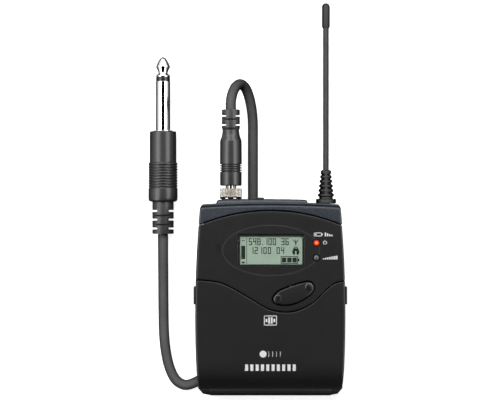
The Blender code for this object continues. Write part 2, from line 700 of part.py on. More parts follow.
def make_boards(parent):
    upper = [(-21.5, 50.5), (-2.6, 50.5), (-0.6, 38.9), (16.0, 41.8), (21.5, 47.0), (21.5, 70.5),
             (-21.5, 70.5)]
    main = prism("main_board", upper, 25.2, 26.4)
    finish(main, "board", parent)
    can = box("shield_can", (-9.0, 20.0), (52.0, 67.0), (20.4, 24.9), bevel=0.3)
    hollow = box("hollow", (-8.6, 19.6), (52.4, 66.6), (20.8, 26.0))
    finish(combine(can, [hollow], "DIFFERENCE"), "steel", parent)
    deck_board = box("button_board", (-24.0, -8.8), (35.2, 45.0), (17.4, 18.4))
    finish(deck_board, "board", parent)
    make_tact_switch("tact_switch_down", *rocker_point(-5.4), 26.7, parent)
    make_tact_switch("tact_switch_up", *rocker_point(5.4), 26.7, parent)
    make_tact_switch("tact_switch_set", *BUTTON_PLACES["set_button"], 18.7, parent)
    make_tact_switch("tact_switch_power", *BUTTON_PLACES["power_button"], 18.7, parent)


# ---------------------------------------------------------------- batteries

def make_battery_tray(parent):
    """Open tray with end walls for the contacts."""
    tray = box("battery_tray", (-29.0, 29.0), (WALL + 0.3, 33.8), (Z_BACK + 2.3, 21.2))
    inside = box("inside", (-28.0, 28.0), (WALL + 1.1, 32.8), (Z_BACK + 2.95, 30.0))
    return finish(combine(tray, [inside], "DIFFERENCE"), "casing", parent)


def make_cell(name, y, facing, parent):
    """AA cell whose button end points to the side given by `facing`."""
    body = CELL_LENGTH - 1.3
    profile = [(CELL_RADIUS - 0.6, 0), (CELL_RADIUS, 0.5), (CELL_RADIUS, body - 0.5),
               (CELL_RADIUS - 0.6, body), (2.7, body), (2.7, CELL_LENGTH - 0.2), (2.3, CELL_LENGTH)]
    cell = turned(name, profile, (-facing * CELL_LENGTH / 2, y, CELL_Z), (facing, 0, 0))
    return finish(cell, "cell", parent)


def make_contacts(name, y, facing, parent):
    """Flat contact at a cell's button end and a coil spring at its other end."""
    plate_x = sorted((facing * 27.7, facing * 27.3))
    plate = box("contact_plate_" + name, plate_x, (y - 4.5, y + 4.5), (CELL_Z - 5.0, CELL_Z + 2.6))
    nub = turned("nub", [(1.9, 0), (1.6, 2.0)], (facing * 27.5, y, CELL_Z), (-facing, 0, 0), 16)
    finish(combine(plate, [nub], "UNION"), "nickel", parent)
    coil("contact_spring_" + name, 3.0, 0.6, 2, 2.2, (-facing * 27.7, y, CELL_Z), (facing, 0, 0), parent)


# ---------------------------------------------------------------- fasteners, clip, hinge pins

def make_screw(name, x, y, parent):
    """Pan-head screw with a cross slot."""
    screw = turned(name, [(1.6, 0), (1.9, 0.3), (1.9, 0.8), (0.9, 0.8), (0.9, 10.4), (0.5, 10.9)],
                   (x, y, Z_BACK + 0.1), (0, 0, 1), 12)
    arms = [box("arm", (x - 1.0, x + 1.0), (y - 0.2, y + 0.2), (Z_BACK - 0.2, Z_BACK + 0.5)),
            box("arm", (x - 0.2, x + 0.2), (y - 1.0, y + 1.0), (Z_BACK - 0.2, Z_BACK + 0.5))]
    return finish(combine(screw, arms, "DIFFERENCE"), "steel", parent)


def sweep(name, points, radius, sides=10):
    """A round wire along points, closed at its ends."""
    path = [Vector(p) for p in points]
    rings = []
    across = (path[1] - path[0]).normalized().orthogonal().normalized()
    for i, point in enumerate(path):
        along = (path[min(i + 1, len(path) - 1)] - path[max(i - 1, 0)]).normalized()
        across = (across - along * across.dot(along)).normalized()
        other = along.cross(across)
        rings.append([point + (across * math.cos(a) + other * math.sin(a)) * radius
                      for a in (2 * math.pi * k / sides for k in range(sides))])
    return loft(name, rings)


def make_belt_clip(parent):
    """Sprung wire bow: two ends turned in to the lugs, two legs, and a round-cornered cross bar."""
    z_low = CLIP_WIRE / 2
    foot_y, bend = 12.0, 9.0
    half = [(19.4, CLIP_PIVOT_Y, CLIP_PIVOT_Z), (CLIP_HALF - 1.2, CLIP_PIVOT_Y, CLIP_PIVOT_Z),
            (CLIP_HALF - 0.3, CLIP_PIVOT_Y - 0.3, CLIP_PIVOT_Z - 0.1),
            (CLIP_HALF, CLIP_PIVOT_Y - 1.4, CLIP_PIVOT_Z - 0.6), (CLIP_HALF, 64.0, 2.6),
            (CLIP_HALF, 59.5, 1.35), (CLIP_HALF, 56.0, z_low)]
    for i in range(7):
        a = math.radians(90 * i / 6)
        half.append((CLIP_HALF - bend * (1 - math.cos(a)), foot_y + bend * (1 - math.sin(a)), z_low))
    points = half + [(-x, y, z) for x, y, z in reversed(half)]
    clip = sweep("belt_clip", points, CLIP_WIRE / 2)
    put_origin(clip, (0.0, CLIP_PIVOT_Y, CLIP_PIVOT_Z))
    return finish(clip, "steel", parent)


def make_hinge_pin(name, side, parent):
    blunt = PIN_RADIUS - 0.15
    profile = [(blunt, 0), (PIN_RADIUS, 0.2), (PIN_RADIUS, PIN_LENGTH - 0.2), (blunt, PIN_LENGTH)]
    pin = turned(name, profile, (side * (BARREL_HALF - 2.0), HINGE_Y, HINGE_Z), (side, 0, 0), 12)
    return finish(pin, "steel", parent)


# ---------------------------------------------------------------- antenna

ANTENNA_FOOT = 82.25
FLANGE_HEIGHT = 1.7
BOOT_TOP = 96.2
ROD_RADIUS = 1.25
ROD_TOP = 157.0
ANTENNA_TIP = 168.0


def boot_radius(y):
    """Radius over the rings of the antenna's boot."""
    start = ANTENNA_FOOT + FLANGE_HEIGHT
    t = (y - start) / (BOOT_TOP - start)
    return 3.5 - 1.5 * t ** 1.3


def make_antenna(parent):
    profile = [(4.0, 0.0), (4.35, 0.3), (4.35, 1.4), (4.0, FLANGE_HEIGHT)]
    rings, start = 7, ANTENNA_FOOT + FLANGE_HEIGHT
    pitch = (BOOT_TOP - start) / rings
    for i in range(rings):
        low = start + i * pitch
        radius = boot_radius(low + 0.6 * pitch)
        for part, share in ((0.1, 0.80), (0.45, 1.0), (0.85, 1.0)):
            profile.append((radius * share, low + part * pitch - ANTENNA_FOOT))
    length = BOOT_TOP - ANTENNA_FOOT
    boot = turned("antenna_boot", profile, (ANTENNA_X, ANTENNA_FOOT, Z_MID), (0, 1, 0), 14)
    clear = ROD_RADIUS + GAP
    bore = turned("bore", [(clear, 0), (clear, length + 2)], (ANTENNA_X, ANTENNA_FOOT - 1, Z_MID),
                  (0, 1, 0), 12)
    finish(combine(boot, [bore], "DIFFERENCE"), "rubber", parent)
    rod = turned("antenna_rod", [(ROD_RADIUS, 0), (ROD_RADIUS, ROD_TOP - 75.0)],
                 (ANTENNA_X, 75.0, Z_MID), (0, 1, 0), 16)
    finish(rod, "rubber", parent)
    tip_length = ANTENNA_TIP - ROD_TOP
    tip = turned("antenna_tip", [(1.5, GAP), (1.7, GAP + 0.3), (1.7, tip_length - 0.7),
                                 (1.4, tip_length - 0.2), (0.8, tip_length)],
                 (ANTENNA_X, ROD_TOP, Z_MID), (0, 1, 0), 16)
    finish(tip, "rubber", parent)


# ---------------------------------------------------------------- audio socket, plug, cord and jack

RING_LOW = 84.5
RING_HIGH = 88.3
HANDLE_LOW = 89.45
HANDLE_SHOULDER = 109.1         # where the handle starts to taper towards its boot
HANDLE_HIGH = 113.3
PLUG_BOOT_TOP = 122.2


def make_audio_socket(parent):
    """Threaded socket through the platform, with a bore for the plug's contact."""
    outer = [(3.9, 0), (3.9, 13.6), (4.6, 13.9), (4.6, 14.2), (3.5, 14.2), (3.5, 16.4)]
    socket = turned("audio_socket", outer, (PLUG_X, 70.0, Z_MID), (0, 1, 0),
                    bore=[(2.1, 16.4), (2.1, 1.5)])
    return finish(socket, "nickel", parent)


def make_lock_ring(parent):
    """Knurled coupling ring that turns on the socket's thread, with an inner flange at its top."""
    height = RING_HIGH - RING_LOW
    ring = turned("lock_ring", [(4.6, 0), (4.9, 0.35), (4.9, height - 0.35), (4.6, height)],
                  (PLUG_X, RING_LOW, Z_MID), (0, 1, 0))
    wide = turned("wide", [(3.85, 0), (3.85, height)], (PLUG_X, RING_LOW - 1.1, Z_MID), (0, 1, 0))
    narrow = turned("narrow", [(2.9, 0), (2.9, height + 2)], (PLUG_X, RING_LOW - 1, Z_MID), (0, 1, 0))
    combine(ring, [wide, narrow], "DIFFERENCE")
    put_origin(ring, (PLUG_X, RING_LOW, Z_MID))
    return finish(ring, "nickel", parent)


def make_small_plug(parent):
    """Contact, handle and boot of the locking 3.5 mm plug."""
    origin, up = (PLUG_X, 0.0, Z_MID), (0, 1, 0)
    contact = [(0.8, 72.2), (1.6, 73.2), (1.0, 74.4), (1.75, 75.2), (1.75, 86.4)]
    finish(turned("plug_contact", contact, origin, up, 16), "gold", parent)
    handle = [(2.5, 86.7), (2.5, HANDLE_LOW), (4.3, HANDLE_LOW), (4.65, HANDLE_LOW + 0.4)]
    handle += [(4.65, HANDLE_SHOULDER), (3.7, HANDLE_HIGH)]
    finish(turned("plug_handle", handle, origin, up), "plug", parent)
    boot = [(3.6, HANDLE_HIGH + GAP)]
    ribs, low = 2, HANDLE_HIGH + 0.6
    pitch = (PLUG_BOOT_TOP - low) / ribs
    for i in range(ribs):
        base = low + i * pitch
        boot += [(3.1, base), (3.1, base + 0.8), (3.95, base + 0.9), (3.95, base + pitch - 0.1)]
    boot += [(3.3, PLUG_BOOT_TOP)]
    finish(turned("plug_boot", boot, origin, up, 14), "rubber", parent)


CORD_ROUTE = [
    (PLUG_X, 122.5, Z_MID), (-16.85, 125.6, 19.4), (-16.2, 129.2, 18.1), (-14.8, 132.3, 15.8),
    (-12.75, 133.7, 12.6), (-10.6, 132.2, 9.4), (-9.0, 128.4, 6.6), (-7.9, 123.2, 4.3),
    (-7.4, 117.4, 2.8), (-7.35, 110.5, 2.3), (-7.35, 95.0, 2.3), (-7.35, 78.0, 2.3),
    (-7.5, 60.0, 2.3), (-8.2, 44.0, 2.35), (-10.6, 30.5, 3.0), (-15.6, 19.0, 4.75),
    (-22.6, 10.2, 4.85), (-28.4, 5.6, 3.9), (-33.2, 2.7, 2.7), (-37.4, 1.7, 2.3),
    (-41.3, 3.9, 2.3), (-44.1, 9.2, 2.3), (-45.8, 16.6, 2.3), (-46.6, 25.0, 2.4),
    (-46.8, 36.0, 3.1), (-46.8, 48.0, 4.6), (-46.8, 59.0, 6.1), (-46.8, 67.9, JACK_Z),
]


def make_cord(parent):
    """The lead: a round tube on a smooth curve through the route's points."""
    data = bpy.data.curves.new("cord", "CURVE")
    data.dimensions = "3D"
    data.bevel_depth = CORD_DIAMETER / 2 * MM
    data.bevel_resolution = 2
    data.use_fill_caps = True
    points = even_points([Vector(p) for p in spline(CORD_ROUTE, 12)], 52)
    line = data.splines.new("POLY")
    line.points.add(len(points) - 1)
    for target, point in zip(line.points, points):
        target.co = (*(point * MM), 1.0)
    cord = bpy.data.objects.new("cord", data)
    bpy.context.collection.objects.link(cord)
    return finish(cord, "cord", parent)


def even_points(line, count):
    """Equally spaced points along a dense line."""
    lengths = [0.0]
    for a, b in zip(line, line[1:]):
        lengths.append(lengths[-1] + (b - a).length)
    spaced = []
    index = 0
    for i in range(count):
        goal = lengths[-1] * i / (count - 1)
        while index < len(line) - 2 and lengths[index + 1] < goal:
            index += 1
        share = (goal - lengths[index]) / (lengths[index + 1] - lengths[index])
        spaced.append(line[index].lerp(line[index + 1], min(share, 1.0)))
    return spaced


def make_jack(parent):
    """The 6.3 mm jack plug: boot, handle, sleeve, insulator and tip."""
    origin, up = (JACK_X, 0.0, JACK_Z), (0, 1, 0)
    boot = [(3.6, 68.3), (4.2, 68.8)]
    for low, high in ((68.8, 70.7), (71.4, 74.4), (75.2, 78.2)):
        boot += [(4.7, low), (4.7, high), (3.7, high + 0.05), (3.7, high + 0.55)]
    boot += [(4.8, 79.1), (4.8, 82.2)]
    finish(turned("jack_boot", boot, origin, up, 14), "rubber", parent)
    handle = [(5.2, 82.55), (6.2, 83.3), (6.4, 84.6), (6.4, 88.4)]
    handle += [(6.05, 88.6), (6.45, 88.9), (6.45, 99.4)]
    handle += [(6.0, 99.9), (6.0, 113.0), (5.7, 113.4)]
    finish(turned("jack_handle", handle, origin, up), "plug", parent)
    sleeve = [(4.4, 113.7), (4.4, 114.3), (3.175, 114.3), (3.175, 135.3)]
    finish(turned("jack_sleeve", sleeve, origin, up), "chrome", parent)
    finish(turned("jack_insulator", [(3.1, 135.6), (3.1, 137.0)], origin, up), "rubber", parent)
    tip = [(3.0, 137.3), (3.15, 138.0), (1.9, 138.9), (1.95, 139.3), (3.05, 141.4), (3.1, 141.9),
           (2.3, 143.8), (1.2, 145.6), (0.5, 146.0)]
    finish(turned("jack_tip", tip, origin, up), "chrome", parent)


# ---------------------------------------------------------------- assembly

def main():
    clear_scene()
    base = bpy.data.objects.new("transmitter", None)
    bpy.context.collection.objects.link(base)
    base.location = (0.0, -ANTENNA_TIP / 2 * MM, 0.0)

    make_rear_housing(base)
    make_front_panel(base)
    make_top_cap(base)
    make_battery_cover(base)
    for side in (-1, 1):
        make_catch(side, base)
        word = "right" if side > 0 else "left"
        coil("catch_spring_" + word, 1.1, 0.4, 2, 1.8, (side * 26.3, CATCH_Y, 26.7), (side, 0, 0), base)
        make_hinge_pin("hinge_pin_" + word, side, base)
    make_rocker(base)
    make_deck_button("set_button", base)
    make_deck_button("power_button", base)
    make_mute_switch(base)
    make_display(base)
    make_boards(base)
    make_battery_tray(base)
    for name, y, facing in (("lower", CELL_Y[0], 1), ("upper", CELL_Y[1], -1)):
        make_cell("battery_" + name, y, facing, base)
        make_contacts(name, y, facing, base)
    for i, (x, y) in enumerate(screw_places(), 1):
        make_screw(f"housing_screw_{i}", x, y, base)
    make_belt_clip(base)
    make_antenna(base)
    make_audio_socket(base)
    make_lock_ring(base)
    make_small_plug(base)
    make_cord(base)
    make_jack(base)
    bpy.context.view_layer.update()


main()
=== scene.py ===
"""Looks of the bodypack transmitter: fine shells, controls, antenna, plugs and lead, and their finishes.

Pieces are modelled in millimetres in the casing's frame: X to the right, Y from the casing's foot to
the antenna, Z out of the front.  `place` turns that into the row frame's metres.
"""
import json
import math

import bmesh
import bpy
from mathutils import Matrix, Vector


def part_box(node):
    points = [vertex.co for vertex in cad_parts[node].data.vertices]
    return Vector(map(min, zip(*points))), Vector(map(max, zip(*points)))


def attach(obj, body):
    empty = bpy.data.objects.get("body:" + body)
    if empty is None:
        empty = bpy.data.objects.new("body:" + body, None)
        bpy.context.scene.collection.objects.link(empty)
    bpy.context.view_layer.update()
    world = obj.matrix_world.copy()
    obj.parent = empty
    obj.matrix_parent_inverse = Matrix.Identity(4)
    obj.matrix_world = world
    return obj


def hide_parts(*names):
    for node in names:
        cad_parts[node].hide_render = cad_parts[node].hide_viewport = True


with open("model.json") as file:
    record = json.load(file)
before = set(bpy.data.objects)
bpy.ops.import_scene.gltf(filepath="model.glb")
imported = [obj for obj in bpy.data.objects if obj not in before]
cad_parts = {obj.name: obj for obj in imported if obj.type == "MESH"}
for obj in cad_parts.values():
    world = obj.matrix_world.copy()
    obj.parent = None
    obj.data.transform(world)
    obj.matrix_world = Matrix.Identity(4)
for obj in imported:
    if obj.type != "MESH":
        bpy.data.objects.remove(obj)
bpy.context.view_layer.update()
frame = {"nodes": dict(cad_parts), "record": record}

MM = 0.001
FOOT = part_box("rear_housing")[0][1]          # row height of the casing's foot


def span(node):
    """A node's box in the casing's frame: lowest and highest corner, in millimetres."""
    low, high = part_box(node)
    return [[value / MM for value in (c[0], c[1] - FOOT, c[2])] for c in (low, high)]


def middle(node):
    """The middle of a node's box, in the casing's frame."""
    low, high = span(node)
    return [(a + b) / 2 for a, b in zip(low, high)]


# ---------------------------------------------------------------- sizes read from the frame

HOUSING = span("rear_housing")
CAP = span("top_cap")
Z_FRONT = CAP[1][2]
Z_BACK = CAP[0][2]
Z_MID = (Z_FRONT + Z_BACK) / 2
HALF_WIDTH = HOUSING[1][0]
PLUG_X = middle("lock_ring")[0]
ANTENNA_X = middle("antenna_rod")[0]
JACK_X = middle("jack_handle")[0]
JACK_Z = middle("jack_handle")[2]
CATCH_Y = middle("catch_left")[1]


# ---------------------------------------------------------------- the casing's sizes

Z_SPLIT = 22.0                 # parting plane of the front parts and the rear shell
BODY_LENGTH = 82.45            # from the foot to the middle of the top edge
WIDEST_Y = 34.3                # height at which the long sides bulge most
SIDE_RADIUS = 495.0            # bulge of the long sides
CROWN_RADIUS = 450.0           # bulge of the top edge
WALL = 1.8                     # of the rear shell and of the front skins
SIDE_SKIN = 1.4                # side walls of the panel and the cover
Z_SKIN = Z_FRONT - WALL        # inner face of the front skins
GAP = 0.3                      # play between pieces
GROOVE = 0.55                  # width of the joints that show
CAP_ARC_TOP = 78.9             # highest point of the arc between panel and cap
CAP_ARC_RADIUS = 77.0
COVER_EDGE = [
    (-34.0, 49.7), (-25.0, 49.0), (-19.3, 47.6), (-13.3, 44.5), (-6.0, 40.1), (-0.5, 37.1),
    (5.5, 35.9), (11.5, 36.6), (17.6, 39.6), (22.5, 44.4), (27.0, 48.0), (34.0, 49.6),
]
HINGE_Y = 2.3                  # axis of the cover's hinge
HINGE_Z = 24.6
BARREL_RADIUS = 2.2
BARREL_HALF = 25.8             # half the barrel's length
LIP_RADIUS = 2.45              # of the barrel's visible skin
PIN_RADIUS = 0.75
SIDE_ROUND = 0.5               # rounding of the casing's long front edges
SIDE_DRAFT = (0.42, 5.0)       # how far the side walls lean out below it, and over what depth
GROOVE_ROUND = 0.28            # rounding along the joints
PLATFORM = (-22.6, 15.7)       # left and right end of the cap's platform
PLATFORM_SLOPE = (0.9, 0.5)    # how far its ends spread below
PLATFORM_TOP = 83.75
BACK_JOINT = -0.3              # cap's edge behind the parting plane, from the arc
TONGUE_REACH = 1.6             # of the rim that the cap slips over, on both sides of the joint
TONGUE_WALL = 1.0

CORD_DIAMETER = 4.5
BOOT_NECK = CORD_DIAMETER / 2 - 0.05   # inner radius of the strain reliefs round the cord
ROCKER_CENTRE = (9.85, 43.55)
ROCKER_TURN = math.radians(20.3)
DISPLAY = (0.3, 62.0)          # middle of the window
WINDOW_HALF = (14.0, 6.75)
LED_X = 19.45
LED_Y = (65.2, 58.9)           # the lit lamp and the unlit one
INFRARED = (-22.1, 63.1)
BUTTON_PLACES = {"set_button": (-19.6, 41.2), "power_button": (-12.4, 38.6)}
CATCH_Z = (24.6, 28.6)


# ---------------------------------------------------------------- mesh helpers

def place(point):
    """A point of the casing's frame in millimetres as one of the row frame in metres."""
    x, y, z = point
    return Vector((x * MM, y * MM + FOOT, z * MM))


def add_object(name, bm):
    """Turn a finished bmesh into an object of the scene."""
    mesh = bpy.data.meshes.new(name)
    bm.to_mesh(mesh)
    bm.free()
    obj = bpy.data.objects.new(name, mesh)
    bpy.context.collection.objects.link(obj)
    return obj


def loft(name, rings, closed=True):
    """A closed solid through rings of equally many points, given in millimetres."""
    bm = bmesh.new()
    loops = [[bm.verts.new(place(point)) for point in ring] for ring in rings]
    count = len(loops[0])
    for low, high in zip(loops, loops[1:]):
        for i in range(count):
            j = (i + 1) % count
            bm.faces.new((low[i], low[j], high[j], high[i]))
    if closed:
        bm.faces.new(loops[0])
        bm.faces.new(loops[-1])
    bmesh.ops.remove_doubles(bm, verts=bm.verts, dist=1e-7)
    bmesh.ops.recalc_face_normals(bm, faces=bm.faces)
    return add_object(name, bm)


def prism(name, outline, low, high):
    """An outline of (x, y) points raised along Z."""
    return loft(name, [[(x, y, z) for x, y in outline] for z in (low, high)])


def box(name, x, y, z, bevel=0.0, segments=3):
    """A block between two values on each axis, with rounded edges where a bevel is given."""
    obj = prism(name, [(x[0], y[0]), (x[1], y[0]), (x[1], y[1]), (x[0], y[1])], *z)
    if bevel:
        round_edges(obj, bevel, segments)
    return obj


def round_edges(obj, width, segments=3, angle=40):
    """Rounds every edge of a mesh that is sharper than an angle."""
    bm = bmesh.new()
    bm.from_mesh(obj.data)
    edges = [e for e in bm.edges if e.calc_face_angle(0.0) > math.radians(angle)]
    bmesh.ops.bevel(bm, geom=edges, offset=width * MM, segments=segments, affect="EDGES",
                    profile=0.5, clamp_overlap=True)
    bm.to_mesh(obj.data)
    bm.free()


def soften(profile, radius, steps=3):
    """A profile with its corners rounded: each becomes a short curve of at most `radius`."""
    points = [Vector(p) for p in profile]
    soft = [points[0]]
    for before, corner, after in zip(points, points[1:], points[2:]):
        reach_in = min(radius, (corner - before).length * 0.45)
        reach_out = min(radius, (after - corner).length * 0.45)
        start = corner + (before - corner).normalized() * reach_in
        end = corner + (after - corner).normalized() * reach_out
        for i in range(steps + 1):
            t = i / steps
            soft.append(start * (1 - t) ** 2 + corner * 2 * t * (1 - t) + end * t ** 2)
    soft.append(points[-1])
    return [tuple(p) for p in soft]


def full_turn(steps):
    """The angles of a full turn in equal steps."""
    return [2 * math.pi * i / steps for i in range(steps)]


def hoop(x, y, z, radius, steps):
    """Points round an axis along Y."""
    return [(x + radius * math.cos(a), y, z + radius * math.sin(a)) for a in full_turn(steps)]


def turned(name, profile, x, z, steps=96, radius=0.12):
    """A solid of revolution about an axis along Y, from (radius, height) pairs with rounded corners."""
    line = soften(profile, radius) if radius else profile
    return loft(name, [hoop(x, y, z, r, steps) for r, y in line])


def turned_along(name, profile, origin, direction, steps=48):
    """A solid of revolution about any axis, from (radius, distance) pairs."""
    axis = Vector(direction).normalized()
    side = axis.orthogonal().normalized()
    other = axis.cross(side)
    rings = []
    for r, along in profile:
        centre = Vector(origin) + axis * along
        rings.append([centre + (side * math.cos(a) + other * math.sin(a)) * r for a in full_turn(steps)])
    return loft(name, rings)


def rod(name, radius, length, origin, direction=(0, 0, 1), steps=24):
    """A round bar from its origin along a direction: a boss, a pin, or the cutter for a hole."""
    return turned_along(name, [(radius, 0), (radius, length)], origin, direction, steps)


def combine(target, tools, operation):
    """Boolean of a piece with tool solids, which are used up."""
    for tool in tools:
        modifier = target.modifiers.new(operation.lower(), "BOOLEAN")
        modifier.operation = operation
        modifier.solver = "EXACT"
        modifier.object = tool
    graph = bpy.context.evaluated_depsgraph_get()
    mesh = bpy.data.meshes.new_from_object(target.evaluated_get(graph))
    mesh.name = target.name
    target.modifiers.clear()
    spent = target.data
    target.data = mesh
    bpy.data.meshes.remove(spent)
    for tool in tools:
        bpy.data.objects.remove(tool, do_unlink=True)
    return target


def smooth(obj, angle=32):
    """Shade smooth, but keep the edges sharper than an angle in degrees."""
    obj.data.shade_smooth()
    obj.data.set_sharp_from_angle(angle=math.radians(angle))
    return obj


def spline(points, per_span, closed=False):
    """Points on a Catmull-Rom curve through the given ones."""
    count = len(points)
    spans = count if closed else count - 1

    def at(i):
        return Vector(points[i % count]) if closed else Vector(points[min(max(i, 0), count - 1)])

    curve = []
    for i in range(spans):
        a, b, c, d = at(i - 1), at(i), at(i + 1), at(i + 2)
        for k in range(per_span):
            t = k / per_span
            curve.append(0.5 * ((2 * b) + (c - a) * t + (2 * a - 5 * b + 4 * c - d) * t ** 2
                                + (3 * b - a - 3 * c + d) * t ** 3))
    if not closed:
        curve.append(at(count - 1))
    return curve


def grown(outline, distance):
    """A closed anticlockwise outline moved outwards by a distance."""
    count = len(outline)
    moved = []
    for i, point in enumerate(outline):
        along = Vector(outline[(i + 1) % count]) - Vector(outline[i - 1])
        normal = Vector((along.y, -along.x)).normalized()
        moved.append(tuple(Vector(point) + normal * distance))
    return moved


def circle(x, y, radius, steps=48):
    """Outline of a circle in the front plane."""
    return [(x + radius * math.cos(a), y + radius * math.sin(a)) for a in full_turn(steps)]


def rounded_rectangle(x0, x1, y0, y1, radius, steps=6):
    """Outline of a rectangle with round corners."""
    corners = [(x1 - radius, y0 + radius, -90), (x1 - radius, y1 - radius, 0),
               (x0 + radius, y1 - radius, 90), (x0 + radius, y0 + radius, 180)]
    outline = []
    for cx, cy, start in corners:
        for i in range(steps + 1):
            a = math.radians(start + 90 * i / steps)
            outline.append((cx + radius * math.cos(a), cy + radius * math.sin(a)))
    return outline


# ---------------------------------------------------------------- materials

def nodes_of(name):
    """A new material with its node tree and its main shader."""
    made = bpy.data.materials.new(name)
    made.use_nodes = True
    tree = made.node_tree
    return made, tree, tree.nodes["Principled BSDF"]


def feed(tree, node, inputs):
    """Give a node's inputs their values, or links from other nodes' sockets."""
    for key, value in inputs.items():
        if isinstance(value, bpy.types.NodeSocket):
            tree.links.new(value, node.inputs[key])
        else:
            node.inputs[key].default_value = value


def add_node(tree, kind, inputs=None, operation=None):
    """A shader node of a kind, with its inputs fed."""
    node = tree.nodes.new("ShaderNode" + kind)
    if operation:
        node.operation = operation
    feed(tree, node, inputs or {})
    return node


def map_range(tree, value, from_low, from_high, to_low, to_high):
    """A value mapped from one range to another and kept inside it."""
    node = add_node(tree, "MapRange", {"Value": value, "From Min": from_low, "From Max": from_high,
                                       "To Min": to_low, "To Max": to_high})
    return node.outputs["Result"]


def arithmetic(tree, operation, first, second):
    """The sum or product of two values."""
    return add_node(tree, "Math", {0: first, 1: second}, operation).outputs["Value"]


def noise_value(tree, scale, detail=3.0, low=0.0, high=1.0):
    """A noise texture in object space, mapped to a range."""
    coords = add_node(tree, "TexCoord")
    texture = add_node(tree, "TexNoise", {"Vector": coords.outputs["Object"], "Scale": scale,
                                          "Detail": detail})
    return map_range(tree, texture.outputs["Fac"], 0.3, 0.7, low, high)


def painted_flank_shade(tree, colour, steep, share):
    """Painted shade: a colour that falls to a share of itself where the surface turns away from up, as if lit
    from above.
    """
    geometry = add_node(tree, "NewGeometry")
    split = add_node(tree, "SeparateXYZ", {"Vector": geometry.outputs["Normal"]})
    strength = map_range(tree, split.outputs["Z"], steep, 1.0, share, 1.0)
    scaled = add_node(tree, "VectorMath", {0: colour, "Scale": strength}, "SCALE")
    return scaled.outputs["Vector"]


def varied_colour(tree, shader, colour, spread, scale, flank_shade=None):
    """Base colour that drifts by a share of itself, and where asked carries painted shade on its flanks."""
    mix = tree.nodes.new("ShaderNodeMix")
    mix.data_type = "RGBA"
    feed(tree, mix, {"Factor": noise_value(tree, scale, 4.0),
                     "A": (*[c * (1 - spread) for c in colour], 1.0),
                     "B": (*[min(c * (1 + spread), 1.0) for c in colour], 1.0)})
    result = mix.outputs["Result"]
    if flank_shade:
        result = painted_flank_shade(tree, result, *flank_shade)
    feed(tree, shader, {"Base Color": result})


def bumped(tree, shader, scale, height, detail=2.0):
    """Fine relief from noise: `height` in metres."""
    bump = add_node(tree, "Bump", {"Strength": 1.0, "Distance": height,
                                   "Height": noise_value(tree, scale, detail)})
    feed(tree, shader, {"Normal": bump.outputs["Normal"]})


def surface(name, colour, roughness, grain=0.0, grain_scale=4000.0, metallic=0.0, spread=0.08,
            rough_spread=0.008, drift=120.0, specular=0.5, coat=0.0, flank_shade=None):
    """A moulded, painted or plated surface with drift in its colour and gloss, and a fine grain; where asked,
    painted shade darkens the flanks that turn away from up.
    """
    made, tree, shader = nodes_of(name)
    varied_colour(tree, shader, colour, spread, drift, flank_shade)
    rough = noise_value(tree, drift * 6, 3.0, roughness - rough_spread, roughness + rough_spread)
    feed(tree, shader, {"Roughness": rough, "Metallic": metallic, "Specular IOR Level": specular})
    if coat:
        feed(tree, shader, {"Coat Weight": coat, "Coat Roughness": 0.08})
    if grain:
        bumped(tree, shader, grain_scale, grain)
    return made


def clear_window():
    """Clear plastic with a faint green-grey cast."""
    made, tree, shader = nodes_of("clear_window")
    varied_colour(tree, shader, (0.30, 0.34, 0.32), 0.03, 60.0)
    feed(tree, shader, {"Roughness": noise_value(tree, 900.0, 2.0, 0.03, 0.07), "Alpha": 0.04,
                        "Specular IOR Level": 0.4})
    return made


def glowing():
    """Lit red lamp: orange at its middle, deep red at its rim."""
    made, tree, shader = nodes_of("led")
    coords = add_node(tree, "TexCoord")
    lamp = place((LED_X, LED_Y[0], Z_FRONT))
    offset = add_node(tree, "VectorMath", {0: coords.outputs["Object"], 1: lamp}, "SUBTRACT")
    flat = add_node(tree, "VectorMath", {0: offset.outputs["Vector"], 1: (1.0, 1.0, 0.0)}, "MULTIPLY")
    length = add_node(tree, "VectorMath", {0: flat.outputs["Vector"]}, "LENGTH")
    share = map_range(tree, length.outputs["Value"], 0.0, 1.35 * MM, 0.0, 1.0)
    ramp = add_node(tree, "ValToRGB", {"Fac": share})
    centre, rim = ramp.color_ramp.elements
    centre.position = 0.2
    centre.color = (0.95, 0.48, 0.01, 1.0)
    rim.position = 0.95
    rim.color = (0.18, 0.003, 0.003, 1.0)
    between = ramp.color_ramp.elements.new(0.55)
    between.color = (0.88, 0.022, 0.003, 1.0)
    feed(tree, shader, {"Emission Color": ramp.outputs["Color"], "Emission Strength": 1.0,
                        "Base Color": (0.04, 0.003, 0.003, 1.0), "Roughness": 0.4,
                        "Specular IOR Level": 0.2})
    return made


def cell_sleeve():
    """Printed sleeve of a battery: dark, under a thin clear coat."""
    made, tree, shader = nodes_of("cell_sleeve")
    varied_colour(tree, shader, (0.020, 0.022, 0.026), 0.1, 200.0)
    feed(tree, shader, {"Roughness": noise_value(tree, 1200.0, 2.0, 0.25, 0.35), "Coat Weight": 0.5})
    return made


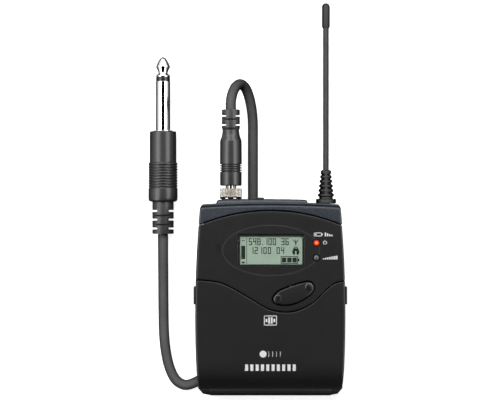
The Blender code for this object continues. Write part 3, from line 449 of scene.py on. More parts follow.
MATERIALS = {
    "casing": surface("casing", (0.0142, 0.0142, 0.0144), 0.31, grain=3e-6, grain_scale=5200.0),
    "inner": surface("inner", (0.022, 0.022, 0.023), 0.55, grain=6e-6, grain_scale=3000.0),
    "cap": surface("cap", (0.0190, 0.0262, 0.0385), 0.35, grain=2.8e-5, grain_scale=1700.0, spread=0.5,
                   drift=1500.0, specular=0.55, rough_spread=0.03),
    "button": surface("button", (0.0140, 0.0140, 0.0144), 0.31, grain=3e-6, grain_scale=4200.0),
    # near-black: painted shade in the cap's joint, in the knurl's valleys, in the neck's flutes and under the
    # coupling ring's pads; also the rocker's pointer marks and the rings round the lenses
    "shade_and_mark_black": surface("shade_and_mark_black", (0.004, 0.004, 0.004), 0.7, specular=0.1),
    "hairline": surface("hairline", (0.034, 0.034, 0.034), 0.40),
    "print": surface("print", (0.92, 0.92, 0.93), 0.5, spread=0.04),
    "bezel": surface("bezel", (0.010, 0.010, 0.011), 0.25),
    "window": clear_window(),
    "display": surface("display", (0.40, 0.535, 0.415), 0.5, spread=0.05, drift=160.0),
    "segment": surface("segment", (0.006, 0.009, 0.007), 0.5, spread=0.10, specular=0.05),
    "led": glowing(),
    "led_off": surface("led_off", (0.09, 0.09, 0.095), 0.3, spread=0.05, coat=0.2),
    "board": surface("board", (0.012, 0.085, 0.035), 0.35, spread=0.15, drift=500.0),
    "steel": surface("steel", (0.50, 0.50, 0.51), 0.28, grain=2e-6, metallic=1.0, spread=0.05),
    "pin": surface("pin", (0.10, 0.10, 0.10), 0.4, grain=2e-6, metallic=1.0, spread=0.05),
    "clip": surface("clip", (0.30, 0.30, 0.31), 0.24, grain=2e-6, metallic=1.0, spread=0.06),
    "nickel": surface("nickel", (0.56, 0.53, 0.49), 0.28, grain=3e-6, metallic=1.0, spread=0.06),
    "chrome": surface("chrome", (0.88, 0.88, 0.89), 0.06, metallic=1.0, spread=0.02),
    "gold": surface("gold", (0.86, 0.62, 0.28), 0.18, metallic=1.0, spread=0.04),
    "cell": cell_sleeve(),
    # painted shade: the rubber of the antenna's boot and tip darkens steeply on its flanks, as if lit from
    # above
    "rubber": surface("rubber", (0.080, 0.080, 0.081), 0.42, grain=5e-6, grain_scale=2600.0, specular=0.08,
                      flank_shade=(0.62, 0.04)),
    # painted shade: the whip darkens on its flanks, as if lit from above
    "whip": surface("whip", (0.120, 0.120, 0.121), 0.40, grain=4e-6, grain_scale=2600.0, specular=0.0,
                    flank_shade=(0.5, 0.25)),
    # painted shade: the lead darkens on its flanks, as if lit from above
    "cord": surface("cord", (0.158, 0.158, 0.159), 0.55, grain=8e-6, grain_scale=2200.0, spread=0.10,
                    specular=0.0, flank_shade=(0.3, 0.35)),
    "plug": surface("plug", (0.036, 0.036, 0.037), 0.30, grain=3e-6, grain_scale=3000.0),
    "boot": surface("boot", (0.046, 0.046, 0.047), 0.36, grain=4e-6, grain_scale=2600.0, specular=0.4),
}

SLOT_OF = {part["node"]: part["material_slot"] for part in frame["record"]["subparts"]}


def finish(obj, look, body, replaces=(), angle=32):
    """Gives a piece its material, its body and the nodes that it stands for."""
    if obj.type == "MESH":
        smooth(obj, angle)
    obj.data.materials.clear()
    obj.data.materials.append(MATERIALS[look])
    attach(obj, body)
    if replaces:
        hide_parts(*replaces)
    return obj


# ---------------------------------------------------------------- camera, lights, floor

CAMERA_X = -8.63
CAMERA_Y = 83.3
CAMERA_Z = 676.0
FRAME_WIDTH = 213.05           # width of the view in the plane FOCUS_Z
FOCUS_Z = 26.0


def make_camera():
    """Camera straight above, square to the table."""
    data = bpy.data.cameras.new("camera")
    data.sensor_width = 36.0
    data.lens = 36.0 * (CAMERA_Z - FOCUS_Z) / FRAME_WIDTH
    data.clip_start = 0.01
    camera = bpy.data.objects.new("camera", data)
    bpy.context.collection.objects.link(camera)
    camera.location = (CAMERA_X * MM, (CAMERA_Y - 84.0) * MM, CAMERA_Z * MM)
    bpy.context.scene.camera = camera


def softbox(name, position, size, radiance, matt=False):
    """A rectangular lamp aimed at the object, for either the matt part or the gloss of the finishes."""
    data = bpy.data.lights.new(name, "AREA")
    data.shape = "RECTANGLE"
    data.size, data.size_y = size
    data.energy = radiance * math.pi * size[0] * size[1]
    lamp = bpy.data.objects.new(name, data)
    bpy.context.collection.objects.link(lamp)
    lamp.location = position
    lamp.rotation_euler = (-Vector(position)).to_track_quat("-Z", "Y").to_euler()
    lamp.visible_camera = False
    lamp.visible_diffuse = matt
    lamp.visible_glossy = not matt


def make_world():
    """Pale walls left and right of a dark band, dimmer towards the foot and paler near the horizon."""
    world = bpy.data.worlds.new("studio")
    world.use_nodes = True
    tree = world.node_tree
    background = tree.nodes["Background"]
    coords = add_node(tree, "TexCoord")
    way = add_node(tree, "SeparateXYZ", {"Vector": coords.outputs["Generated"]}).outputs
    aside = add_node(tree, "Math", {0: way["X"]}, "ABSOLUTE")
    band = map_range(tree, aside.outputs["Value"], math.sin(math.radians(17)), math.sin(math.radians(26)),
                     0.03, 0.26)
    foot = map_range(tree, way["Y"], -0.75, 0.05, 0.4, 1.0)
    horizon = map_range(tree, way["Z"], 0.2, 0.45, 0.25, 0.0)
    strength = arithmetic(tree, "MULTIPLY", arithmetic(tree, "ADD", band, horizon), foot)
    feed(tree, background, {"Strength": strength})
    plain = add_node(tree, "Background", {"Color": (0.9, 0.9, 0.9, 1.0)})
    show_to_camera(tree, tree.nodes["World Output"], plain.outputs[0], background.outputs[0])
    bpy.context.scene.world = world


def show_to_camera(tree, output, seen, thrown):
    """Show one shader to the camera, and light the object with another."""
    rays = add_node(tree, "LightPath")
    mix = add_node(tree, "MixShader", {"Fac": rays.outputs["Is Camera Ray"], 1: thrown, 2: seen})
    feed(tree, output, {"Surface": mix.outputs["Shader"]})


def make_floor():
    """Table that looks white to the camera, and throws back less light the nearer it is to the object."""
    bm = bmesh.new()
    bmesh.ops.create_grid(bm, x_segments=1, y_segments=1, size=3.0)
    floor = add_object("floor", bm)
    floor.location = (0.0, 0.0, -0.0002)
    made, tree, shader = nodes_of("floor")
    varied_colour(tree, shader, (0.90, 0.90, 0.90), 0.004, 4.0)
    feed(tree, shader, {"Roughness": 0.8, "Specular IOR Level": 0.0,
                        "Emission Color": (1.0, 1.0, 1.0, 1.0), "Emission Strength": 0.9})
    coords = add_node(tree, "TexCoord")
    oval = add_node(tree, "VectorMath", {0: coords.outputs["Object"], 1: (1.0, 0.4, 0.0)}, "MULTIPLY")
    away = add_node(tree, "VectorMath", {0: oval.outputs["Vector"]}, "LENGTH")
    shade = map_range(tree, away.outputs["Value"], 0.045, 0.20, 0.05, 0.60)
    dim = add_node(tree, "BsdfDiffuse", {"Color": shade})
    show_to_camera(tree, tree.nodes["Material Output"], shader.outputs["BSDF"], dim.outputs["BSDF"])
    made.cycles.emission_sampling = "NONE"
    floor.data.materials.append(made)


def make_studio():
    """World, table and lamps: a matt key from the top left, glossy strips and panels at the sides."""
    bpy.context.scene.view_settings.view_transform = "Standard"
    make_world()
    make_floor()
    softbox("key", (-0.18, 0.40, 0.80), (0.66, 0.66), 6.0, matt=True)
    for side, word in ((-1, "left"), (1, "right")):
        softbox("strip_" + word, (side * 0.54, 0.15, 0.57), (3.0, 0.46), 4.6)
        softbox("panel_" + word, (side * 0.80, 0.15, 0.16), (3.0, 0.52), 0.9)
    softbox("strip_top", (0.0, 0.50, 0.78), (0.8, 0.24), 3.4)


# ---------------------------------------------------------------- casing outlines

def side_x(y):
    """Half the casing's width at a height."""
    return HALF_WIDTH - SIDE_RADIUS + math.sqrt(SIDE_RADIUS ** 2 - (y - WIDEST_Y) ** 2)


def crown_y(x):
    """Height of the top edge at a place across."""
    return BODY_LENGTH - CROWN_RADIUS + math.sqrt(CROWN_RADIUS ** 2 - x ** 2)


def cap_joint_y(x, offset=0.0):
    """Height of the arc between the panel and the cap."""
    return CAP_ARC_TOP + offset - CAP_ARC_RADIUS + math.sqrt(CAP_ARC_RADIUS ** 2 - x ** 2)


EDGE_CURVE = spline(COVER_EDGE, 10)


def cover_joint_y(x, offset=0.0):
    """Height of the cover's S-shaped edge at a place across, moved square to the curve."""
    for a, b in zip(EDGE_CURVE, EDGE_CURVE[1:]):
        if b.x >= x:
            break
    slope = (b.y - a.y) / (b.x - a.x)
    return a.y + slope * (x - a.x) + offset * math.sqrt(1 + slope ** 2)


def casing_outline(side_in=0.0, end_in=0.0, fine=4):
    """Outline of the casing, drawn in from the sides and from the ends."""
    foot, corner = 25.9, (28.7, 0.7)           # end of the flat foot, and the cut corner beside it
    side_start, shoulder, crown_end = 3.4, 79.0, 28.2
    half = [(foot, end_in), (corner[0] - 0.5 * side_in, corner[1] + end_in)]
    count = 11 * fine
    base = side_start + 0.6 * end_in
    for i in range(count):
        y = base + (shoulder - base) * i / (count - 1)
        half.append((side_x(y) - side_in, y))
    start = crown_end - 0.8 * side_in
    reach_x = side_x(shoulder) - side_in - start
    reach_y = crown_y(crown_end) - end_in - shoulder
    for i in range(1, 3 * fine):
        a = math.radians(90 * i / (3 * fine))
        half.append((start + reach_x * math.cos(a), shoulder + reach_y * math.sin(a)))
    for i in range(5 * fine):
        x = start * (1 - i / (5 * fine))
        half.append((x, crown_y(x) - end_in))
    top = [(0.0, crown_y(0.0) - end_in)]
    return half + top + [(-x, y) for x, y in reversed(half)]


def envelope(name, levels):
    """A solid of the casing's outline through (height, side inset, end inset) levels."""
    return loft(name, [[(x, y, z) for x, y in casing_outline(s, e)] for z, s, e in levels])


def quarter_levels(start_z, radius, up, steps=6):
    """Levels of a quarter round: (z, side inset, end inset), from the flat side or up to it."""
    levels = []
    for i in range(steps + 1):
        a = math.radians(90 * i / steps)
        inset = radius * (1 - math.cos(a)) if up else radius * (1 - math.sin(a))
        z = start_z + radius * math.sin(a) if up else start_z + radius * (1 - math.cos(a))
        levels.append((z, inset, inset))
    return levels


BACK_LEVELS = quarter_levels(Z_BACK, 2.3, up=False)
CAP_EDGE = [                   # (depth below the front, side inset, inset at the top edge)
    (7.0, 0.0, 0.0), (3.3, 0.0, 0.0), (2.7, 0.0, 0.06), (2.45, 0.0, 0.18), (2.32, 0.0, 0.36),
    (2.28, 0.0, 0.60), (2.32, 0.02, 0.84), (2.60, 0.04, 0.98), (2.66, 0.05, 1.12), (2.45, 0.05, 1.22),
    (1.1, 0.06, 1.26), (0.62, 0.10, 1.32), (0.34, 0.20, 1.44), (0.14, 0.38, 1.66), (0.04, 0.62, 1.92),
    (0.0, 0.90, 2.2),
]
CAP_FRONT_LEVELS = [(Z_FRONT - depth, side, end) for depth, side, end in CAP_EDGE]


# ---------------------------------------------------------------- front shells

def rounding_steps(radius, steps=5):
    """(distance from an edge, drop of the surface) pairs of a quarter round."""
    pairs = []
    for i in range(steps):
        a = math.radians(90 * i / steps)
        pairs.append((radius * (1 - math.cos(a)), radius * (1 - math.sin(a))))
    return pairs + [(radius, 0.0)]


def front_block(name, low, high, base_z, low_round, high_round, roll=None, columns=72, rows=30):
    """A block under the front face between two curves of x, with rounded long edges and joints."""
    lean, deep = SIDE_DRAFT
    side = [(0.0, deep)] + [(lean + distance, drop) for distance, drop in rounding_steps(SIDE_ROUND)]
    reach = side[-1][0]
    across = [(-1.0, distance, drop) for distance, drop in side[:-1]]
    for i in range(columns + 1):
        across.append((2 * i / columns - 1.0, reach if i in (0, columns) else None, 0.0))
    across += [(1.0, distance, drop) for distance, drop in reversed(side[:-1])]
    along = [(0.0, d, drop) for d, drop in rounding_steps(low_round)] if low_round else [(0.0, 0.0, 0.0)]
    along += [(i / rows, None, 0.0) for i in range(1, rows)]
    along += [(1.0, d, drop) for d, drop in reversed(rounding_steps(high_round))]

    def surface_point(column, row):
        """A point of the front face; x and y depend on each other, so both are settled by turns."""
        u, inset, drop_x = column
        v, edge, drop_y = row
        x = u * HALF_WIDTH
        for _ in range(4):
            bottom, top = low(x), high(x)
            if edge is None:
                y = bottom + low_round + (top - high_round - bottom - low_round) * v
            else:
                y = bottom + edge if v == 0.0 else top - edge
            half = side_x(y)
            x = u * (half - inset) if inset is not None else u * (half - reach)
        drop = math.hypot(drop_x, drop_y) if drop_x and drop_y else drop_x + drop_y
        z = Z_FRONT - min(drop, deep) - (roll(y) if roll else 0.0)
        return x, y, max(z, base_z + 0.1)

    bm = bmesh.new()
    grid = [[bm.verts.new(place(surface_point(c, r))) for c in across] for r in along]
    for r0, r1 in zip(grid, grid[1:]):
        for a, b, c, d in zip(r0, r0[1:], r1[1:], r1):
            bm.faces.new((a, b, c, d))
    rim = (grid[0] + [row[-1] for row in grid[1:]] + list(reversed(grid[-1][:-1]))
           + [row[0] for row in reversed(grid[1:-1])])
    floor_ring = [bm.verts.new((v.co.x, v.co.y, base_z * MM)) for v in rim]
    for i in range(len(rim)):
        j = (i + 1) % len(rim)
        bm.faces.new((rim[i], rim[j], floor_ring[j], floor_ring[i]))
    bm.faces.new(floor_ring)
    bmesh.ops.remove_doubles(bm, verts=bm.verts, dist=1e-7)
    bmesh.ops.recalc_face_normals(bm, faces=bm.faces)
    return add_object(name, bm)


def inner_outline(inset, low, high=95.0):
    """Inside of the side walls between two heights."""
    levels = [low + (high - low) * i / 20 for i in range(21)]
    right = [(side_x(min(y, 80.0)) - inset, y) for y in levels]
    return right + [(-x, y) for x, y in reversed(right)]


def joint_line(offset, reach=34.0, count=80):
    """Points along the cover's S-shaped edge, from left to right."""
    xs = [reach * (2 * i / count - 1) for i in range(count + 1)]
    return [(x, cover_joint_y(x, offset)) for x in xs]


def cap_joint(offset, reach=34.0, count=80):
    """Points along the arc between the panel and the cap, from left to right."""
    xs = [reach * (2 * i / count - 1) for i in range(count + 1)]
    return [(x, cap_joint_y(x, offset)) for x in xs]


def screw_places():
    """Places of the four housing screws."""
    return [(side * x, y) for x, y in ((26.0, 68.0), (26.6, 45.2)) for side in (-1, 1)]


def rocker_outline(margin=0.0, per_span=10):
    """Leaf-shaped outline of the rocker."""
    leaf = [(1.15, 41.8), (2.3, 39.7), (5.6, 39.0), (8.6, 39.2), (11.6, 40.15), (14.7, 41.85), (17.1, 43.8),
            (18.4, 46.3), (17.0, 48.4), (14.2, 48.45), (8.0, 46.55), (3.6, 44.6)]
    outline = [tuple(p) for p in spline(leaf, per_span, closed=True)]
    return grown(outline, margin) if margin else outline


def rocker_point(u, v=0.0):
    """A place in the casing from the rocker's own frame: u along it, v across."""
    c, s = math.cos(ROCKER_TURN), math.sin(ROCKER_TURN)
    return ROCKER_CENTRE[0] + u * c - v * s, ROCKER_CENTRE[1] + u * s + v * c


def display_outline(margin, radius):
    """Outline of the display window, grown by a margin."""
    x, y = DISPLAY
    wide, tall = (half + margin for half in WINDOW_HALF)
    return rounded_rectangle(x - wide, x + wide, y - tall, y + tall, radius)


def rocker_frame_box(name, u, v, z):
    """A block along the rocker's own axes."""
    corners = [rocker_point(a, b) for a, b in ((u[0], v[0]), (u[1], v[0]), (u[1], v[1]), (u[0], v[1]))]
    return prism(name, corners, *z)


def make_front_panel():
    """Panel with the display, the indicators, the rocker's opening and the deck under the cover."""
    panel = front_block("front_panel_shell", lambda x: cover_joint_y(x, GROOVE / 2),
                        lambda x: cap_joint_y(x, -GROOVE / 2 - 0.08), Z_SPLIT + GAP, GROOVE_ROUND,
                        GROOVE_ROUND)
    inside = joint_line(GROOVE / 2 + 1.1) + [(34.0, 95.0), (-34.0, 95.0)]
    cavity = prism("cavity", inside, 0.0, Z_SKIN)
    combine(cavity, [prism("bounds", inner_outline(SIDE_SKIN, 30.0), -1.0, 39.0)], "INTERSECT")
    combine(panel, [cavity], "DIFFERENCE")
    limit = side_x(40.0) - 2.0
    top = [(x, y) for x, y in joint_line(GROOVE / 2 + 0.8) if abs(x) < limit]
    deck = prism("deck", [(-limit, 34.2), (limit, 34.2)] + list(reversed(top)), Z_SPLIT + 0.6, Z_SPLIT + 2.0)
    combine(panel, [deck], "UNION")
    bar = rocker_frame_box("bar", (-1.2, 1.2), (-5.6, 6.8), (26.8, 27.8))
    combine(panel, [bar], "UNION")
    for x, y in screw_places():
        high = Z_SKIN + 0.5 if y > 60 else Z_SPLIT + 1.5
        boss = rod("boss", 2.0, high - 10.0, (x, y, 10.0), steps=32)
        combine(panel, [boss], "UNION")
    tools = [rod("hole", 1.2, 11.5, (x, y, 9.0)) for x, y in screw_places()]
    tools += [rod("hole", 2.5, 4, (x, y, Z_SPLIT - 1), steps=40) for x, y in BUTTON_PLACES.values()]
    combine(panel, tools, "DIFFERENCE")
    cut_front_openings(panel)
    return finish(panel, "casing", "casing", ["front_panel"])


def cut_front_openings(panel):
    """Openings through the front skin, each with a narrow sunk rim."""
    rebate = prism("rebate", display_outline(0.0, 0.7), Z_SKIN + 0.5, Z_FRONT + 1)
    rim = loft("rim", [[(x, y, z) for x, y in display_outline(margin, 0.7 + margin)]
                       for margin, z in ((0.0, Z_FRONT - 0.28), (0.28, Z_FRONT + 0.02), (0.3, Z_FRONT + 1))])
    hole = prism("hole", display_outline(-0.8, 0.4), Z_SKIN - 1, Z_FRONT)
    leaf = loft("leaf", [[(x, y, z) for x, y in rocker_outline(margin)]
                         for margin, z in ((0.5, Z_SKIN - 0.8), (0.5, Z_FRONT - 0.25),
                                           (0.75, Z_FRONT + 0.02), (0.76, Z_FRONT + 1))])
    x, y = INFRARED
    slit = prism("slit", rounded_rectangle(x - 0.62, x + 0.62, y - 1.45, y + 1.45, 0.6),
                 Z_SKIN - 1, Z_FRONT + 1)
    tools = [rebate, rim, hole, leaf, slit]
    for led_y in LED_Y:
        tools.append(turned_along("hole", [(1.45, 0), (1.45, 2.6), (1.75, 2.85), (1.75, 4)],
                                  (LED_X, led_y, Z_SKIN - 1), (0, 0, 1), 48))
    combine(panel, tools, "DIFFERENCE")


ROLL_START = 17.4              # height from which the cover's face rolls down to its hinge
ROLL_END = HINGE_Y + 0.1


def foot_roll(y):
    """How far the cover's face has dropped towards its hinge: a long roll with a short hollow at its end."""
    share = min(max((ROLL_START - y) / (ROLL_START - ROLL_END), 0.0), 1.0)
    return (Z_FRONT - HINGE_Z - LIP_RADIUS) * share ** 5 * (6 - 5 * share)


def make_battery_cover():
    """Door with its hinge barrel, rolled foot, side walls and spring ribs."""
    cover = front_block("battery_cover_shell", lambda x: ROLL_END, lambda x: cover_joint_y(x, -GROOVE / 2),
                        Z_SPLIT + GAP, 0.0, GROOVE_ROUND, roll=foot_roll, rows=110)
    profile = [(ROLL_END - 4.0, -5.0), (60.0, -5.0), (60.0, Z_SKIN)]
    steps = 20
    for i in range(steps + 1):
        y = ROLL_START + (ROLL_END - 0.02 - ROLL_START) * i / steps
        profile.append((y, Z_SKIN - foot_roll(y) * 0.8))
    profile.append((ROLL_END - 4.0, profile[-1][1]))
    cavity = loft("cavity", [[(x, y, z) for y, z in profile] for x in (-36.0, 36.0)])
    combine(cavity, [prism("bounds", inner_outline(SIDE_SKIN, -4.0, 60.0), -1.0, 39.0)], "INTERSECT")
    combine(cover, [cavity], "DIFFERENCE")
    corner = box("corner", (-34.0, 34.0), (-1.0, HINGE_Y + 2.7), (0.0, HINGE_Z + 0.4))
    clearance = rod("clearance", BARREL_RADIUS + 0.4, 70, (-35.0, HINGE_Y, HINGE_Z), (1, 0, 0), 48)
    combine(cover, [corner, clearance], "DIFFERENCE")
    half = BARREL_HALF
    profile = soften([(0.1, 0), (LIP_RADIUS, 0), (LIP_RADIUS, 2 * half), (0.1, 2 * half)], 0.1)
    barrel = turned_along("barrel", profile, (-half, HINGE_Y, HINGE_Z), (1, 0, 0), 96)
    strap = box("strap", (-half, half), (HINGE_Y + 0.4, HINGE_Y + 2.2), (HINGE_Z + 0.6, HINGE_Z + 2.2))
    combine(cover, [barrel], "UNION")
    combine(cover, [strap], "UNION")
    for side in (-1, 1):
        hole = rod("hole", PIN_RADIUS + GAP, 4, (side * (half + 1), HINGE_Y, HINGE_Z), (-side, 0, 0), 32)
        opening = box("opening", sorted((side * 28.0, side * 34.0)), (CATCH_Y - 4.15, CATCH_Y + 4.15),
                      (CATCH_Z[0] - GAP, CATCH_Z[1] + GAP))
        combine(cover, [hole, opening], "DIFFERENCE")
        rib = box("rib", sorted((side * 25.2, side * 26.0)), (CATCH_Y - 3.0, CATCH_Y + 3.0),
                  (24.6, Z_SKIN + 0.4))
        combine(cover, [rib], "UNION")
    return finish(cover, "casing", "cover", ["battery_cover"])


def make_rear_housing():
    """Tub with a rounded back, hinge lugs at its foot and clip lugs behind."""
    housing = envelope("rear_housing_shell", BACK_LEVELS + [(Z_SPLIT - 0.2, 0.0, 0.0), (Z_SPLIT, 0.2, 0.2)])
    region = [(-34.0, -5.0), (34.0, -5.0)] + list(reversed(cap_joint(BACK_JOINT - GAP)))
    combine(housing, [prism("region", region, 0.0, 40.0)], "INTERSECT")
    cavity = prism("cavity", inner_outline(WALL, WALL), Z_BACK + 2.0, 40.0)
    corners = [box("corner", sorted((side * 29.0, side * 33.0)), (-1.0, 4.9), (Z_SPLIT - 6, Z_SPLIT + 1))
               for side in (-1, 1)]
    combine(cavity, corners, "DIFFERENCE")
    combine(housing, [cavity], "DIFFERENCE")
    for side in (-1, 1):
        add_hinge_lug(housing, side)
        add_clip_lug(housing, side)
    tools = []
    for x, y in screw_places():
        tools.append(rod("head", 2.2, 1.4, (x, y, Z_BACK - 0.3), steps=40))
        tools.append(rod("shank", 1.2, 4, (x, y, Z_BACK)))
    combine(housing, tools, "DIFFERENCE")
    return finish(housing, "casing", "casing", ["rear_housing"])


def add_hinge_lug(housing, side):
    """Lug beside the cover's barrel, on a foot, with the hole for its hinge pin."""
    lug_start, lug_end = BARREL_HALF + 0.12, BARREL_HALF + 5.0
    start = (side * lug_start, HINGE_Y, HINGE_Z)
    lug = rod("lug", BARREL_RADIUS, lug_end - lug_start, start, (side, 0, 0), 48)
    x = sorted((side * lug_start, side * lug_end))
    foot = box("foot", x, (HINGE_Y - BARREL_RADIUS, HINGE_Y + BARREL_RADIUS), (Z_SPLIT - 0.5, HINGE_Z))
    combine(lug, [foot], "UNION")
    limit = prism("limit", casing_outline(0.1, 0.1), 0.0, 40.0)
    combine(lug, [limit], "INTERSECT")
    combine(housing, [lug], "UNION")
    hole = rod("hole", PIN_RADIUS + GAP, 6, (side * (BARREL_HALF - 2.2), HINGE_Y, HINGE_Z), (side, 0, 0))
    combine(housing, [hole], "DIFFERENCE")


CLIP_PIVOT = (70.0, 5.2)       # height and depth of the clip's axis
CLIP_HALF = 24.0               # half the clip's width
CLIP_RADIUS = 1.0              # of its wire


def add_clip_lug(housing, side):
    """Lug on the back with the hole for one end of the belt clip's wire."""
    y, z = CLIP_PIVOT
    x = sorted((side * 18.6, side * (CLIP_HALF - 1.4)))
    nose = rod("nose", 2.0, x[1] - x[0], (x[0], y, z), (1, 0, 0), 40)
    web = box("web", x, (y - 2.0, y + 2.0), (z, Z_BACK + 0.8))
    combine(nose, [web], "UNION")
    combine(housing, [nose], "UNION")
    hole = rod("hole", CLIP_RADIUS + GAP, 5.2, (side * (CLIP_HALF - 0.4), y, z), (-side, 0, 0))
    combine(housing, [hole], "DIFFERENCE")


def make_platform():
    """Raised platform with sloping sides and rounded edges, which becomes part of the cap."""
    low, high = PLATFORM
    centre, half = (low + high) / 2, (high - low) / 2
    crown = [(centre + half * t, PLATFORM_TOP - 0.3 * t ** 2) for t in (1 - i / 10 for i in range(21))]
    outline = [(low - PLATFORM_SLOPE[0], 80.9), (high + PLATFORM_SLOPE[1], 80.9)] + crown
    platform = prism("platform", outline, Z_MID - 8.0, Z_MID + 8.0)
    slopes = []
    for side in (-1, 1):
        wedge = [(80.4, Z_MID + side * 8.0), (84.5, Z_MID + side * 6.6), (84.5, Z_MID + side * 9.0),
                 (80.4, Z_MID + side * 9.0)]
        slopes.append(loft("slope", [[(x, y, z) for y, z in wedge] for x in (low - 4.0, high + 4.0)]))
    combine(platform, slopes, "DIFFERENCE")
    round_edges(platform, 0.9, 6, angle=45)
    return platform


def make_top_cap():
    """Textured cap over the full depth with its raised platform."""
    cap = envelope("top_cap_shell", BACK_LEVELS + CAP_FRONT_LEVELS)
    region = prism("region", cap_joint(GROOVE / 2 + 0.12) + [(34.0, 95.0), (-34.0, 95.0)], 0.0, 40.0)
    behind = prism("behind", cap_joint(BACK_JOINT) + [(34.0, 95.0), (-34.0, 95.0)], 0.0, Z_SPLIT)
    combine(region, [behind], "UNION")
    combine(cap, [region], "INTERSECT")
    inset = GAP + TONGUE_WALL
    hollow = (inner_outline(WALL + inset, 60.0, 80.2), Z_BACK + 2.0 + inset, Z_SKIN - inset)
    combine(cap, [prism("cavity", *hollow)], "DIFFERENCE")
    rim = prism("cap_rim", inner_outline(WALL + GAP, 60.0, 81.0), Z_BACK + 2.0 + GAP, Z_SKIN - GAP)
    band = cap_joint(-TONGUE_REACH) + list(reversed(cap_joint(TONGUE_REACH)))
    combine(rim, [prism("band", band, 0.0, 40.0)], "INTERSECT")
    combine(rim, [prism("cavity", *hollow)], "DIFFERENCE")
    # painted shade: the rim under the joint is near-black so that the joint looks like a deep shaded gap
    finish(rim, "shade_and_mark_black", "casing")
    combine(cap, [make_platform()], "UNION")
    tools = [rod("hole", 4.2, 20, (PLUG_X, 70.0, Z_MID), (0, 1, 0), 48),
             rod("hole", 1.9, 20, (ANTENNA_X, 70.0, Z_MID), (0, 1, 0), 32),
             box("slot", (-8.1, -2.3), (78.0, 90.0), (Z_MID - 1.5, Z_MID + 1.5))]
    combine(cap, tools, "DIFFERENCE")
    return finish(cap, "cap", "casing", ["top_cap"])


# ---------------------------------------------------------------- controls

def make_rocker():
    """Leaf-shaped rocker, crowned, with a raised pad and a pointer mark at each end."""
    outline = grown(rocker_outline(), -0.1)
    cx, cy = ROCKER_CENTRE
    rings = [[(x, y, 29.0) for x, y in outline], [(x, y, 31.5) for x, y in outline]]
    for inset, z in ((0.03, 31.78), (0.08, 31.88), (0.16, 31.95), (0.28, 32.0)):
        rings.append([(x, y, z) for x, y in grown(outline, -inset)])
    last = rings[-1]
    for share in (0.85, 0.65, 0.4, 0.15):
        crown = 0.10 * (1 - share ** 2)
        rings.append([(cx + (x - cx) * share, cy + (y - cy) * share, z + crown) for x, y, z in last])
    rocker = loft("rocker_cap", rings)
    across = (-math.sin(ROCKER_TURN), math.cos(ROCKER_TURN), 0)
    keel = rod("keel", 0.8, 7.2, (*rocker_point(0.0, -3.4), 28.9), across)
    combine(rocker, [keel], "UNION")
    finish(rocker, "button", "rocker", ["rocker_button"], angle=24)
    for way, (x, y) in {-1: (3.3, 41.6), 1: (16.25, 46.5)}.items():
        word = "up" if way > 0 else "down"
        finish(dome("rocker_pad_" + word, (x, y), 1.85, 31.95, 0.34), "button", "rocker", angle=60)
        wide, tall = 1.15, 2.1
        tip = [(x - wide, y - way * tall / 2), (x + wide, y - way * tall / 2), (x, y + way * tall / 2)]
        if way < 0:
            tip.reverse()
        finish(prism("rocker_mark_" + word, tip, 32.0, 32.33), "shade_and_mark_black", "rocker")


def dome(name, place_xy, radius, low, rise):
    """A low round pad, steep at its upper left and running out gently at its lower right."""
    rings = [[(x, y, low - 0.3) for x, y in circle(*place_xy, radius)]]
    steps, lean = 12, radius * 0.38
    for i in range(steps + 1):
        share = i / steps
        centre = (place_xy[0] - lean * share, place_xy[1] + lean * share)
        height = rise * (1 - (1 - share) ** 2)
        rings.append([(x, y, low + height) for x, y in circle(*centre, radius * (1 - 0.95 * share))])
    return loft(name, rings)


def make_catches():
    """Side catches with finger ribs, and the flange behind the cover's wall."""
    for side, word in ((-1, "left"), (1, "right")):
        face = HALF_WIDTH + 0.65
        block = box("catch_block_" + word, sorted((side * 29.9, side * face)), (CATCH_Y - 3.8, CATCH_Y + 3.8),
                    CATCH_Z, bevel=0.3)
        flange = box("flange", sorted((side * 29.2, side * 30.1)), (CATCH_Y - 4.6, CATCH_Y + 4.6),
                     (CATCH_Z[0] - 0.25, CATCH_Z[1] + 0.7))
        combine(block, [flange], "UNION")
        cuts = []
        for i in range(5):
            y = CATCH_Y - 2.4 + 1.2 * i
            cuts.append(box("rib_gap", sorted((side * (face - 0.22), side * (face + 1))), (y - 0.2, y + 0.2),
                            (CATCH_Z[0] + 0.6, CATCH_Z[1] - 0.6)))
        combine(block, cuts, "DIFFERENCE")
        finish(block, "button", "catch_" + word, ["catch_" + word])


def make_deck_buttons():
    """Round buttons under the cover, one with a power mark and one with a tick."""
    for name, (x, y) in BUTTON_PLACES.items():
        profile = soften([(0.05, 0), (2.2, 0), (2.2, 4.5), (0.05, 4.45)], 0.3)
        cap = turned_along(name + "_cap", profile, (x, y, 21.1), (0, 0, 1), 48)
        finish(cap, "button", name, [name])
        if name == "power_button":
            arc = [math.radians(120 + 300 * i / 24) for i in range(25)]
            outer = [(x + 1.15 * math.cos(a), y + 1.15 * math.sin(a)) for a in arc]
            inner = [(x + 0.9 * math.cos(a), y + 0.9 * math.sin(a)) for a in reversed(arc)]
            finish(prism("power_mark_ring", outer + inner, 25.55, 25.66), "print", name)
            bar = [(x - 0.13, y + 0.2), (x + 0.13, y + 0.2), (x + 0.13, y + 1.3), (x - 0.13, y + 1.3)]
            finish(prism("power_mark_bar", bar, 25.55, 25.66), "print", name)
        else:
            tick = [(x - 1.0, y), (x - 0.75, y + 0.25), (x - 0.25, y - 0.3), (x + 0.8, y + 0.9),
                    (x + 1.05, y + 0.65), (x - 0.25, y - 0.85)]
            finish(prism("set_mark", list(reversed(tick)), 25.55, 25.66), "print", name)


